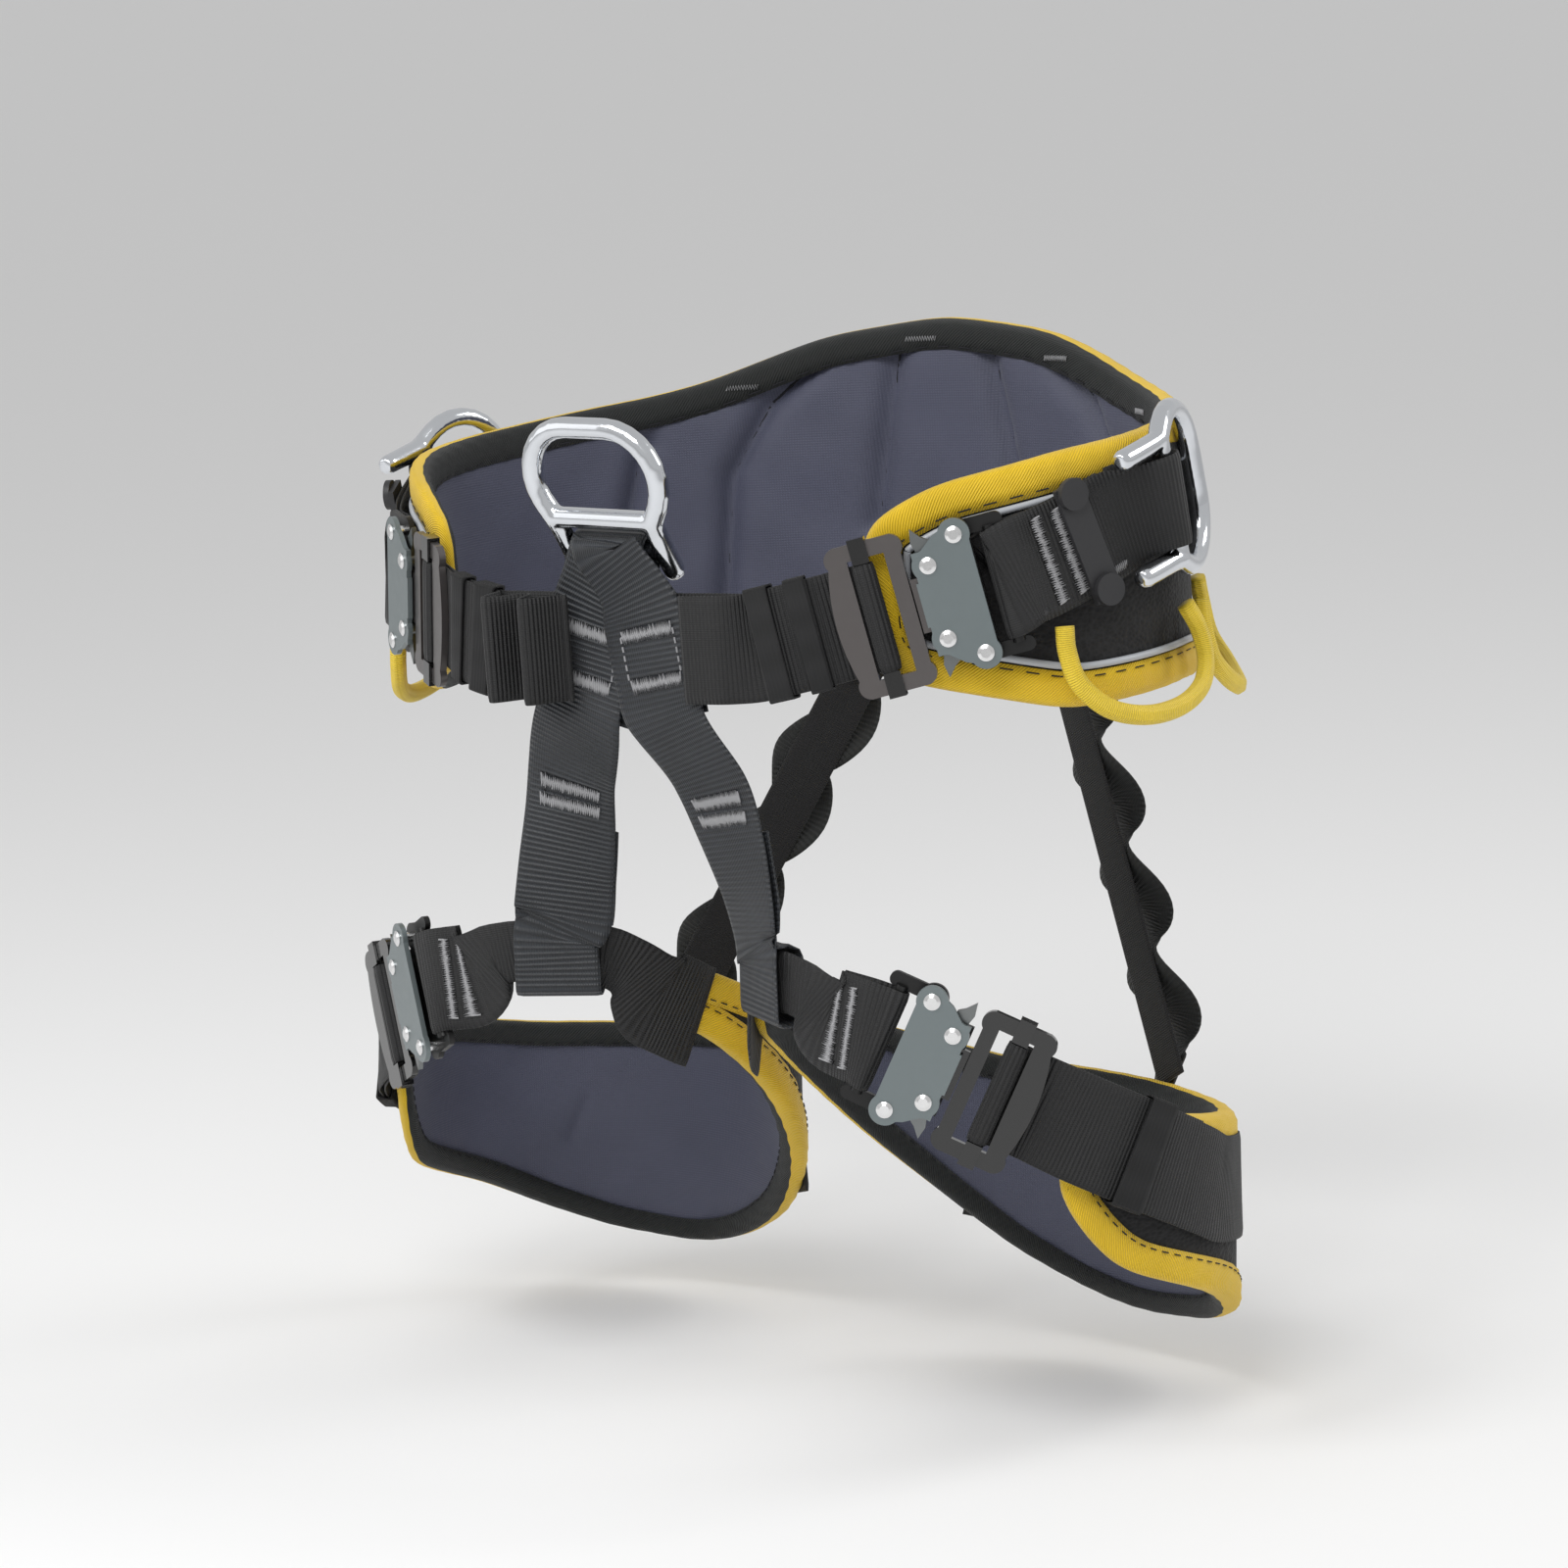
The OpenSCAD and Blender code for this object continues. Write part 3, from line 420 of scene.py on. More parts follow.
class Strip:
    """A webbing strip: dense mesh, uv in mm, and a way to find points on its two faces."""

    def __init__(self, name, stations, w, t, mat, step=2.0, wobble=0.0, side=1, tilt=False, seed=0):
        rows = [[*p, *unit(u), q] for p, u, q in [(s[0], s[1], s[2] if len(s) > 2 else w) for s in stations]]
        r = catmull(rows, step)
        if tilt:
            r[:, :3] = waist(r[:, :3] * [side, 1, 1])
            r[:, 3:6] = waist(r[:, 3:6] * [side, 1, 1])
        elif side < 0:
            r[:, [0, 3]] *= -1
        n = len(r)
        tan = np.gradient(r[:, :3], axis=0)
        tan /= np.linalg.norm(tan, axis=1)[:, None] + 1e-9
        u = r[:, 3:6] - (r[:, 3:6] * tan).sum(1)[:, None] * tan
        u /= np.linalg.norm(u, axis=1)[:, None] + 1e-9
        k = np.cross(tan, u)
        length = np.concatenate([[0], np.cumsum(np.linalg.norm(np.diff(r[:, :3], axis=0), axis=1))])
        self.c, self.u, self.k, self.w, self.t, self.len = r[:, :3], u, k, r[:, 6], t, length
        edge = 0.7
        prof = [(-1, 0, 0), (-1, -0.5, edge), (-0.5, -1, 0), (0, -1.02, 0), (0.5, -1, 0), (1, -0.5, edge),
                (1, 0, 0), (1, 0.5, edge), (0.5, 1, 0), (0, 1.02, 0), (-0.5, 1, 0), (-1, 0.5, edge)]
        rng = np.random.RandomState(seed + 7)
        ph = rng.rand(4) * 6.28
        sway = wobble * (np.sin(length / 19 + ph[0]) + 0.6 * np.sin(length / 8.3 + ph[1]))
        verts, uv = [], []
        for i in range(n):
            for a, b, e in prof:
                y = a * (self.w[i] / 2) * (0.97 if abs(a) == 0.5 else 1) - math.copysign(0.25 * e, a) * (e > 0)
                if abs(a) == 0.5:
                    y = a * self.w[i] * 0.86
                lift = sway[i] * (0.4 + y / self.w[i])
                verts.append(self.c[i] + y * u[i] + (b * t / 2 + lift) * k[i])
                uv.append((length[i], y + self.w[i]))
        m = len(prof)
        faces = [f[::-1] for f in grid_faces(n, m, True)]
        faces += [tuple(range(m)), tuple((n - 1) * m + j for j in range(m))[::-1]]
        self.obj = new_object(name, verts, faces, [mat], uv=uv)
        self.sway = sway

    def at(self, x, y, face=1, lift=0.0):
        i = min(len(self.len) - 1, max(0, float(np.interp(x, self.len, np.arange(len(self.len))))))
        a, b = int(i), min(len(self.len) - 1, int(i) + 1)
        f = i - a
        mix = lambda v: v[a] * (1 - f) + v[b] * f
        sw = mix(self.sway) * (0.4 + y / mix(self.w))
        return mix(self.c) + y * mix(self.u) + (face * (self.t / 2 + lift) + sw) * mix(self.k)

    def near(self, p):
        return float(self.len[int(np.argmin(np.linalg.norm(self.c - np.asarray(p), axis=1)))])


def tubes(name, paths, r, mat, sides=5):
    """Thin threads as one mesh."""
    verts, faces, uv = [], [], []
    for path in paths:
        p = np.asarray(path, float)
        tan = np.gradient(p, axis=0)
        tan /= np.linalg.norm(tan, axis=1)[:, None] + 1e-9
        ref = np.array([0.3, 0.2, 0.93])
        u = np.cross(tan, ref)
        u /= np.linalg.norm(u, axis=1)[:, None] + 1e-9
        v = np.cross(tan, u)
        base = len(verts)
        for i in range(len(p)):
            for j in range(sides):
                a = 2 * math.pi * j / sides
                verts.append(p[i] + r * (math.cos(a) * u[i] + math.sin(a) * v[i]))
                uv.append((i, j))
        faces += grid_faces(len(p), sides, True, base=base)
    return new_object(name, verts, faces, [mat], uv=uv)


def bartack(strip, x, y0, y1, face=1, height=5.0, pitch=0.95, seed=0):
    """Zigzag row across the strip at length x: one thread going up and down between two lines."""
    rng = np.random.RandomState(seed)
    n = int(abs(y1 - y0) / pitch * 2)
    pts = []
    for i in range(n + 1):
        y = y0 + (y1 - y0) * i / n
        xx = x + (height / 2 if i % 2 else -height / 2) + rng.randn() * 0.25
        pts.append(strip.at(xx, y, face, 0.22))
    out = []
    for i in range(len(pts) - 1):
        a, b = pts[i], pts[i + 1]
        mid = (a + b) / 2
        out += [a, mid]
    out.append(pts[-1])
    return np.array(out)


def dashes(strip, line, face=1, on=2.4, off=1.4):
    """Running stitch along a polyline of (x, y) on the strip."""
    paths = []
    for (x0, y0), (x1, y1) in zip(line[:-1], line[1:]):
        total = math.hypot(x1 - x0, y1 - y0)
        n = max(1, int(total / (on + off)))
        for i in range(n):
            a, b = (i * (on + off)) / total, min(1, (i * (on + off) + on) / total)
            paths.append([strip.at(x0 + (x1 - x0) * f, y0 + (y1 - y0) * f, face, 0.1) for f in (a, (a + b) / 2, b)])
    return paths


# ---------------------------------------------------------------- pads
PAD_TOPS = [[0, 111], [20, 104], [40, 86], [50, 81], [77, 74], [108, 69], [130, 60], [141, 46]]
PAD_BOTS = [[0, -50], [50, -36], [77, -30], [110, -32], [136, -16], [141, -8]]
LEG_TOPS = [[-37, -208], [-30, -194], [-16, -190], [10, -200], [37, -209], [60, -211], [90, -208],
            [117, -204], [150, -188], [181, -165], [200, -150], [213, -145]]
LEG_BOTS = [[-37, -218], [-30, -236], [-20, -253], [-5, -262], [16, -275], [37, -293], [55, -305],
            [77, -310], [90, -307], [103, -299], [118, -286], [134, -266], [159, -232], [181, -200],
            [200, -176], [213, -166]]


def waist_pad_at(b, z, q):
    t = 90 - b
    c, s = cs(t)
    n = unit([c / WAIST_A, s / WAIST_B, 0])
    share = 1 - 0.5 * smooth((abs(b) - 95) / 46)
    return np.array([WAIST_A * c, WAIST_B * s, z]) + q * share * n


def leg_pad_at(b, z, q):
    share = 1 - 0.35 * smooth((b - 160) / 40) - 0.45 * smooth((10 - b) / 40)
    return leg_arc(b, share * q - 6.6) + np.array([0, 0, z])


class Pad:
    """Outline in (degrees, height), rounded, with an inner lining, an outer shell, a binding tape and piping."""

    def __init__(self, at, tops, bots, rate, thick, symmetric):
        self.at, self.rate, self.thick = at, rate, thick
        tops, bots = np.array(tops, float), np.array(bots, float)
        if symmetric:
            tops = np.vstack([tops[:0:-1] * [-1, 1], tops])
            bots = np.vstack([bots[:0:-1] * [-1, 1], bots])
        loop = np.vstack([bots, tops[::-1], bots[:1]]) * [rate, 1]
        d = np.concatenate([[0], np.cumsum(np.linalg.norm(np.diff(loop, axis=0), axis=1))])
        n = 560
        k = np.linspace(0, d[-1], n, endpoint=False)
        p = np.stack([np.interp(k, d, loop[:, 0]), np.interp(k, d, loop[:, 1])], 1)
        step = d[-1] / n
        w = np.exp(-0.5 * (np.arange(-30, 31) * step / 9.0) ** 2)
        w /= w.sum()
        p = np.stack([np.convolve(np.concatenate([p[-30:, i], p[:, i], p[:30, i]]), w, "valid") for i in (0, 1)], 1)
        self.loop, self.n = p, n
        tan = np.roll(p, -1, 0) - np.roll(p, 1, 0)
        tan /= np.linalg.norm(tan, axis=1)[:, None]
        self.inward = np.stack([-tan[:, 1], tan[:, 0]], 1)

    def p3(self, x, z, q):
        return self.at(x / self.rate, z, q)

    def edge_dist(self, x, z):
        return float(np.min(np.hypot(self.loop[:, 0] - x, self.loop[:, 1] - z)))

    def panel(self, name, mat, q_of, cols, rows, inset, flip):
        """A single open sheet over the outline; q_of(x, z, d) gives its surface at distance d from the edge."""
        p = self.loop + inset * self.inward
        lo, hi = p[:, 0].min() + 0.4, p[:, 0].max() - 0.4
        i0, i1 = int(np.argmin(p[:, 0])), int(np.argmax(p[:, 0]))
        if i0 < i1:
            a, b = p[i0:i1 + 1], np.vstack([p[i1:], p[:i0 + 1]])
        else:
            a, b = np.vstack([p[i0:], p[:i1 + 1]]), p[i1:i0 + 1]
        b = b[::-1]
        lower, upper = (a, b) if a[:, 1].mean() < b[:, 1].mean() else (b, a)
        u = (1 - np.cos(np.linspace(0, math.pi, cols))) / 2
        xs = lo + (hi - lo) * (0.25 * u + 0.75 * np.linspace(0, 1, cols))
        verts, uv = [], []
        order = lambda c: c[np.argsort(c[:, 0])]
        lo_c, up_c = order(lower), order(upper)
        for x in xs:
            z0, z1 = np.interp(x, lo_c[:, 0], lo_c[:, 1]), np.interp(x, up_c[:, 0], up_c[:, 1])
            for j in range(rows):
                z = z0 + (z1 - z0) * j / (rows - 1)
                verts.append(self.p3(x, z, q_of(x, z, self.edge_dist(x, z))))
                uv.append((x, z))
        faces = grid_faces(cols, rows)
        if flip:
            faces = [f[::-1] for f in faces]
        return new_object(name, verts, faces, [mat], uv=uv)

    def binding(self, name, wide_out, wide_in):
        """Folded tape: yellow outside and over the edge, black on the lining side."""
        t = self.thick
        prof = [(wide_in, 0.8, 1), (wide_in, -0.5, 1), (wide_in * 0.6, -1.2, 1), (3, -1.1, 1), (0.6, -0.2, 1), (-0.6, 1.2, 1),
                (-1.4, t * 0.35, 0), (-1.5, t * 0.65, 0), (-0.7, t - 1.0, 0), (0.8, t + 0.4, 0), (3, t + 1.2, 0),
                (wide_out * 0.6, t + 1.3, 0), (wide_out, t + 0.8, 0), (wide_out, t - 0.6, 0)]
        step = np.linalg.norm(np.roll(self.loop, -1, 0) - self.loop, axis=1)
        along = np.concatenate([[0], np.cumsum(step)])
        verts, uv = [], []
        m = len(prof)
        for i in range(self.n + 1):
            p, w = self.loop[i % self.n], self.inward[i % self.n]
            y = 0
            for j, (e, q, _) in enumerate(prof):
                pucker = 0.22 * math.sin(along[i] / 2.1 + e)
                verts.append(self.p3(*(p + e * w), q + pucker * (0 < j < m - 1)))
                if j:
                    y += math.hypot(e - prof[j - 1][0], q - prof[j - 1][1])
                uv.append((along[i], y))
        faces = grid_faces(self.n + 1, m)
        side = [0 if prof[j + 1][2] == 0 and prof[j][2] == 0 else 1 for _ in range(self.n) for j in range(m - 1)]
        return new_object(name, verts, faces, [YELLOW, TAPE], side, uv)

    def run(self, e, q, i0, i1, step=1):
        idx = [i % self.n for i in range(i0, i1, step)]
        return np.array([self.p3(*(self.loop[i] + e * self.inward[i]), q) for i in idx])

    def stitches(self, e, q, every=4, on=2):
        return [self.run(e, q, i, i + on + 1) for i in range(0, self.n, every)]


def seg_dist(x, z, line):
    best = 1e9
    for (x0, z0), (x1, z1) in zip(line[:-1], line[1:]):
        dx, dz = x1 - x0, z1 - z0
        f = min(1, max(0, ((x - x0) * dx + (z - z0) * dz) / (dx * dx + dz * dz)))
        best = min(best, math.hypot(x - x0 - f * dx, z - z0 - f * dz))
    return best


waist_pad = Pad(waist_pad_at, PAD_TOPS, PAD_BOTS, 2.55, PAD_T, True)
leg_pad = Pad(leg_pad_at, LEG_TOPS, LEG_BOTS, 1.62, LEG_T, False)
CHANNELS = [[(sgn * x * 2.55, z) for x, z in line] for sgn in (1, -1) for line in
            ([(8, 102), (13.5, 22)], [(23, 92), (30, 76), (37, 45), (39.5, -9)], [(52, 62), (58, 10)])]
rng = np.random.RandomState(11)
WRINKLES = [(rng.uniform(-300, 300), rng.uniform(-30, 90), rng.uniform(0, 3.14), rng.uniform(25, 60))
            for _ in range(26)]


def ripple(x, z):
    return sum(math.sin(((x - a) * math.cos(c) + (z - b) * math.sin(c)) / w * 6.28)
               for a, b, c, w in WRINKLES[:8]) * 0.12


def groove(d, depth, w):
    return depth * math.exp(-(d / w) ** 2)


def lining_q(x, z, d):
    crown = 2.4 * (1 - math.exp(-max(0, d - 5) / 9))
    cut = max(groove(seg_dist(x, z, c), 4.6, 6.0) + groove(seg_dist(x, z, c), 2.4, 2.2) for c in CHANNELS)
    ribs = 0.35 * math.sin(x * 1.5) * math.exp(-((z - 88) / 16) ** 2) * (abs(x) > 40)
    return 1.6 - crown + cut * min(1, max(0, d - 4) / 8) + ripple(x, z) + ribs


def shell_q(x, z, d):
    return PAD_T - 1.0 + 1.0 * (1 - math.exp(-max(0, d - 5) / 10)) + 0.4 * ripple(x, z)


def leg_lining_q(x, z, d):
    crown = 2.6 * (1 - math.exp(-max(0, d - 5) / 11))
    crease = groove(seg_dist(x, z, [(70, -262), (78, -244)]), 1.3, 2.2)
    return 1.6 - crown + crease + 0.8 * ripple(x * 1.3, z * 1.3)


def leg_shell_q(x, z, d):
    return LEG_T - 1.0 + 0.9 * (1 - math.exp(-max(0, d - 5) / 10)) + 0.4 * ripple(x, z)


def finish_piece(o, body, *nodes, side=1, tilt=False):
    """Puts a piece made on the left, untilted, into its place and onto its body."""
    me = o.data
    co = np.empty(len(me.vertices) * 3, np.float32)
    me.vertices.foreach_get("co", co)
    co = co.reshape(-1, 3).astype(float) * [side, 1, 1]
    if tilt:
        co = waist(co)
    me.vertices.foreach_set("co", co.astype(np.float32).ravel())
    if side < 0:
        me.flip_normals()
    me.update()
    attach(o, body)
    if nodes:
        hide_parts(*nodes)
    return o


wc, wr = ((330, 56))
waist_lining = waist_pad.panel("waist_pad_lining_fabric", LINING, lining_q, wc, wr, 5, False)
finish_piece(waist_lining, "harness", "waist_pad_lining", tilt=True)
waist_shell = waist_pad.panel("waist_pad_shell_mesh", SHELL, shell_q, wc // 2, wr // 2, 5, True)
finish_piece(waist_shell, "harness", "waist_pad_shell", "waist_pad_foam", tilt=True)
waist_tape = waist_pad.binding("waist_pad_binding_tape", 13, 12)
finish_piece(waist_tape, "harness", "waist_pad_binding", tilt=True)
waist_seams = tubes("waist_pad_seams", waist_pad.stitches(11, PAD_T + 1.35) + waist_pad.stitches(10.6, -1.0),
                    0.3, DARK_THREAD_AND_CREASE_SHADE, 4)
finish_piece(waist_seams, "harness", tilt=True)
N = waist_pad.n
waist_piping = tubes("waist_pad_piping", [waist_pad.run(15.2, PAD_T + 0.9, 0, N + 1)], 1.5, PIPING, 8)
finish_piece(waist_piping, "harness", tilt=True)


def on_lining(x, z, lift):
    """Point on the waist pad's lining, well inside its edge."""
    return waist_pad.p3(x, z, lining_q(x, z, 20) + lift)


ends = []
for line in CHANNELS:
    (xa, za), (xb, zb) = line[-2], line[-1]
    for k in range(9):
        f0, f1 = 0.45 + k * 0.062, 0.45 + k * 0.062 + 0.04
        ends.append([on_lining(xa + (xb - xa) * f, za + (zb - za) * f, -0.25) for f in (f0, (f0 + f1) / 2, f1)])
# Painted crease shadow: a dark tube runs the full length of each channel's crease and stands in for the shade that
# falls there. The short stitch marks above are real thread.
crease_shadow_lines = []
for line in CHANNELS:
    for (xa, za), (xb, zb) in zip(line[:-1], line[1:]):
        crease_shadow_lines.append([on_lining(xa + (xb - xa) * f, za + (zb - za) * f, 0.1) for f in np.linspace(0.04, 0.97, 20)])
finish_piece(tubes("channel_crease_shadows", crease_shadow_lines, 0.7, DARK_THREAD_AND_CREASE_SHADE, 4), "harness", tilt=True)
finish_piece(tubes("channel_stitches", ends, 0.45, DARK_THREAD_AND_CREASE_SHADE, 4), "harness", tilt=True)
tacks = []
for b in (-62, -34, -3, 24, 52):
    x = b * 2.55
    up = waist_pad.loop[np.argmin(np.abs(waist_pad.loop[:, 0] - x) + 1000 * (waist_pad.loop[:, 1] < 20))]
    pts = [waist_pad.p3(x - 7 + k * 0.6, up[1] - 6.5 + (1.0 if k % 2 else -1.0), -1.6) for k in range(24)]
    tacks.append(pts)
finish_piece(tubes("binding_bartacks", tacks, 0.35, THREAD, 4), "harness", tilt=True)

lc, lr = ((190, 56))
for s, side in SIDES:
    body = f"leg_{s}"
    o = leg_pad.panel(f"leg_cushion_lining_{s}", LINING, leg_lining_q, lc, lr, 5, True)
    finish_piece(o, body, f"leg_cushion_{s}", side=side)
    o = leg_pad.panel(f"leg_pad_shell_{s}", SHELL, leg_shell_q, lc // 2, lr // 2, 5, False)
    finish_piece(o, body, f"leg_shell_{s}", side=side)
    o = leg_pad.binding(f"leg_binding_tape_{s}", 12, 9)
    finish_piece(o, body, f"leg_binding_{s}", side=side)
    o = tubes(f"leg_pad_seams_{s}", leg_pad.stitches(10, LEG_T + 1.35) + leg_pad.stitches(8, -1.0),
              0.3, DARK_THREAD_AND_CREASE_SHADE, 4)
    finish_piece(o, body, side=side)

# ---------------------------------------------------------------- webbing
W, T = 44, 1.6
STRAP_H, TAIL_H = 0.8, 2.7


def wrap(s, h, r, a0, a1, n, k=1.0):
    """Arc of points (s, h) round a bar."""
    turns = [math.radians(a0 + (a1 - a0) * i / n) for i in range(n + 1)]
    return [((s + r * math.cos(t)) * k, h + r * math.sin(t)) for t in turns]


def on_line(line, path):
    return [(line.p(q[0], q[1]), line.up(q[0]), q[2] if len(q) > 2 else W) for q in path]


WRAP_B = 2.5 + 0.3 + 0.8
SLIDER = [[-31.6, 2.75], [-29.4, 3.2], [-28.3, 4.4], [-28.3, 6.2], [-29.6, 7.5],
          [-32, 7.9], [-34.4, 7.5], [-35.7, 6.2], [-35.7, 4.4], [-36.6, 3.2], [-38.4, TAIL_H]]
wrap_r = 4.5 + 0.8 + 0.8
side_path = ([(s, -0.9) for s in (70, 58, 46, 34, 22)] + wrap(20, 3, WRAP_B, -90, -270, 8, BELT_K)
             + [(27, 4.6), (34, 1.9), (46, 1.6), (58, 1.6), (70, 1.6), (78, 5, 39), (86, 11.4, 38)]
             + [(*q, 38) for q in wrap(94, 9, wrap_r, 115, -95, 9)]
             + [(88, 9 - wrap_r - 1.2, 38), (80, -0.9, 42), (74, -0.9)])
tail_rise = [(s, TAIL_H + 0.5 * smooth((-46 - s) / 6)) for s in range(-46, -83, -6)]
folds = []
for s in range(-83, -129, -3):
    a = math.radians((s + 83) * 360 / 22)
    folds.append((s, 3.7 + 0.12 * (-83 - s) + 8.5 * (1 - math.cos(a)) * smooth((-82 - s) / 8)))

n = 48
pts = []
for i in range(n + 1):
    t = -2 + 184 * i / n
    s_ = t if t < 90 else 180 - t
    pts.append((ell_p(t, -2.5) + np.array([0, 0, 46 - 18 * smooth((s_ + 5) / 80)]), [0, 0, 1]))
o = Strip("belt_webbing_back", pts, W, T, WEB, tilt=True)
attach(o.obj, "harness")
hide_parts("belt_webbing")

stations = [-28, -40, -46, -52, -58, -64, -70, -76] + list(np.linspace(-84, CENTRE_S, 6))
half = [belt.p(s, STRAP_H) for s in stations]
ups = [belt.up(s) for s in stations]
pts = [(p, u) for p, u in zip(half, ups)]
pts += [(p * [-1, 1, 1], u * [-1, 1, 1]) for p, u in zip(half[-2::-1], ups[-2::-1])]
front = Strip("front_belt_strap", pts, W, T, WEB, tilt=True)
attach(front.obj, "harness")
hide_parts("front_strap")

grey = []
for s, side in SIDES:
    st = Strip(f"side_strap_webbing_{s}", on_line(belt, side_path), W, T, WEB, tilt=True, side=side, seed=side)
    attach(st.obj, "harness")
    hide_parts(f"side_strap_{s}")
    face = 1 if np.dot(st.at(90, 0, 1) - st.at(90, 0, -1), waist(belt.n(40) * [side, 1, 1])) > 0 else -1
    lens = [st.near(waist(belt.p(x, 1.2) * [side, 1, 1])) for x in (38, 46)]
    grey.append([bartack(st, x, -18, 18, face, 5, 0.95, 3) for x in lens])
    x = st.near(waist(belt.p(62, 1.2) * [side, 1, 1]))
    dip = [st.at(x + k * 0.5 - 6, -17 + (1.4 if k % 2 else -1.4), face, 0.2) for k in range(26)]
    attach(tubes(f"side_strap_bartacks_{s}", grey[-1] + [dip], 0.42, THREAD), "harness")
    extra = tail_rise + ([(-89, 6.6), (-96, 9), (-105, 9.2), (-113, 9.4)] if side > 0 else folds)
    path = [(q[0] * BELT_K, q[1]) for q in SLIDER] + extra
    tail = Strip(f"waist_tail_webbing_{s}", on_line(belt, path), W, T, WEB, tilt=True, side=side)
    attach(tail.obj, f"waist_slider_body_{s}")
    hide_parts(f"waist_tail_{s}")


LOOP_S, LOOP_W, LOOP_LIFT = 81, 26, 8


def squeeze(s):
    """How far the leg strap is squeezed by the bridge strap's loop."""
    return smooth((40 - abs(s - LOOP_S)) / 12)


for s, side in SIDES:
    body = f"leg_{s}"
    path = ([(q, -0.9) for q in range(50, 24, -5)] + wrap(20, 3, WRAP_B, -90, -270, 8, LEG_K)
            + [(26, 4.6), (34, 1.8)] + [(q, STRAP_H) for q in range(40, 141, 4)])
    pts = [(leg.p(q, h) + np.array([0, 0, LOOP_LIFT * squeeze(q)]), leg.up(q), W + (LOOP_W - W) * squeeze(q))
           for q, h in path]
    st = Strip(f"leg_inner_webbing_{s}", pts, W, T, WEB, side=side, seed=side)
    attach(st.obj, body)
    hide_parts(f"leg_inner_strap_{s}")
    nrm = leg.n(35) * [side, 1, 1]
    x0 = st.near(leg.p(38, 1.6) * [side, 1, 1])
    face = 1 if np.dot(st.at(x0, 0, 1) - st.at(x0, 0, -1), nrm) > 0 else -1
    rows = [bartack(st, st.near(leg.p(q, 1.6) * [side, 1, 1]), -17, 17, face, 4.4, 0.95, 5) for q in (30, 37.5)]
    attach(tubes(f"leg_inner_bartacks_{s}", rows, 0.42, THREAD), body)
    path = [(-28, STRAP_H), (LEG_S_OUT, STRAP_H)] + [(q, STRAP_H) for q in range(-65, -330, -12)]
    st = Strip(f"leg_outer_webbing_{s}", on_line(leg, path), W, T, WEB, side=side)
    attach(st.obj, body)
    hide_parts(f"leg_outer_strap_{s}")
    path = [(q[0] * LEG_K, q[1]) for q in SLIDER] + [(-42, TAIL_H), (LEG_S_OUT, TAIL_H + 0.1)]
    path += [(q, TAIL_H + 0.4 * smooth((-54 - q) / 10)) for q in range(-62, -113, -10)]
    st = Strip(f"leg_tail_webbing_{s}", on_line(leg, path), W, T, WEB, side=side)
    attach(st.obj, f"leg_slider_body_{s}")
    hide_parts(f"leg_tail_{s}")

# ---------------------------------------------------------------- bridge straps
TOP = np.array([0, CENTRE_Y - 1.8, 40.5])
MID = [[36, -111, -55, -4], [42, -106.5, -78, -12], [47, -104.5, -100, -22], [50.5, -104, -120, -29]]
FOOT = leg.at(LOOP_S)
FOOT_N = leg.n(LOOP_S)
for s, side, r, back_h, front_h in (("left", 1, 7.75, -2.75, 4.95), ("right", -1, 5.95, -0.95, 2.95)):
    first = [[19, CENTRE_Y - back_h, -30, 42], [17, CENTRE_Y - back_h, -20, 42], [12, CENTRE_Y - back_h, 6, 42],
             [0, CENTRE_Y - back_h - 0.2, 26, 35.5]]
    for i in range(9):
        c, d = cs(180 * i / 8)
        first.append([0, TOP[1] + r * c, TOP[2] + r * d, 35.5])
    first += [[9, CENTRE_Y - front_h - 1, 25, 37], [14, CENTRE_Y - front_h, 12, 42],
              [20, CENTRE_Y - front_h, -16, 42], [24, CENTRE_Y - front_h + 0.5, -30, 42]]
    pts = []
    for x, y, z, w in first:
        x *= side
        pts.append(([x, y, z + x * math.tan(TILT)], [1, 0, 0], w))
    for x, y, z, a in MID:
        c, d = cs(a)
        pts.append(([x * side, y, z], [c, d * side, 0], 42))
    h, m = 13.6, 8
    for q, z in ((3.8, m + 8), (3.8, m - 6), (3.6, m - h - 1.4), (1.8, m - h - 3), (0, m - h - 3.6),
                 (-3.4, m - h - 3.2), (-7.3, m - h), (-7.9, m + 12)):
        p = FOOT + q * FOOT_N + np.array([0, 0, z])
        pts.append((p * [side, 1, 1], [-FOOT_N[1], FOOT_N[0] * side, 0], 36.5))
    for x, y, z, a in (MID[3], MID[2], MID[1]):
        c, d = cs(a)
        pts.append(([(x - 3.2 * d) * side, y + 3.2 * c, z], [c, d * side, 0], 42))
    st = Strip(f"bridge_strap_webbing_{s}", pts, 42, 1.5, BRIDGE)

    def row(p, x0, x1, seed):
        """Bar-tack on the front layer: its zigzag, its place on the strip and the face it is on."""
        x = st.near(p)
        f = 1 if (st.at(x, 0, 1) - st.at(x, 0, -1))[1] < 0 else -1
        return bartack(st, x, x0, x1, f, 5.5, 1.0, seed), x, f

    rows, marks = [], []
    for z, x in ((6, 15), (-14, 19.5)):
        zigzag, place, f = row([x * side, CENTRE_Y - front_h, z], -12, 14, 4)
        rows.append(zigzag)
        marks.append(place)
    a, b = marks
    for box_line in ([(a, -13), (b, -13)], [(a, 14.5), (b, 14.5)], [(a, -13), (a, 14.5)]):
        rows += dashes(st, box_line, f)
    upper = tubes(f"bridge_stitches_upper_{s}", rows, 0.42, THREAD)
    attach(upper, "harness")
    lower_rows = [row([x * side, y, z], -14, 14, 6)[0] for x, y, z in ((37.5, -110, -62), (39.8, -108, -71))]
    lower = tubes(f"bridge_stitches_lower_{s}", lower_rows, 0.42, THREAD)
    for o in (lower, st.obj):
        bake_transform(o)
    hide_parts(f"bridge_strap_{s}")

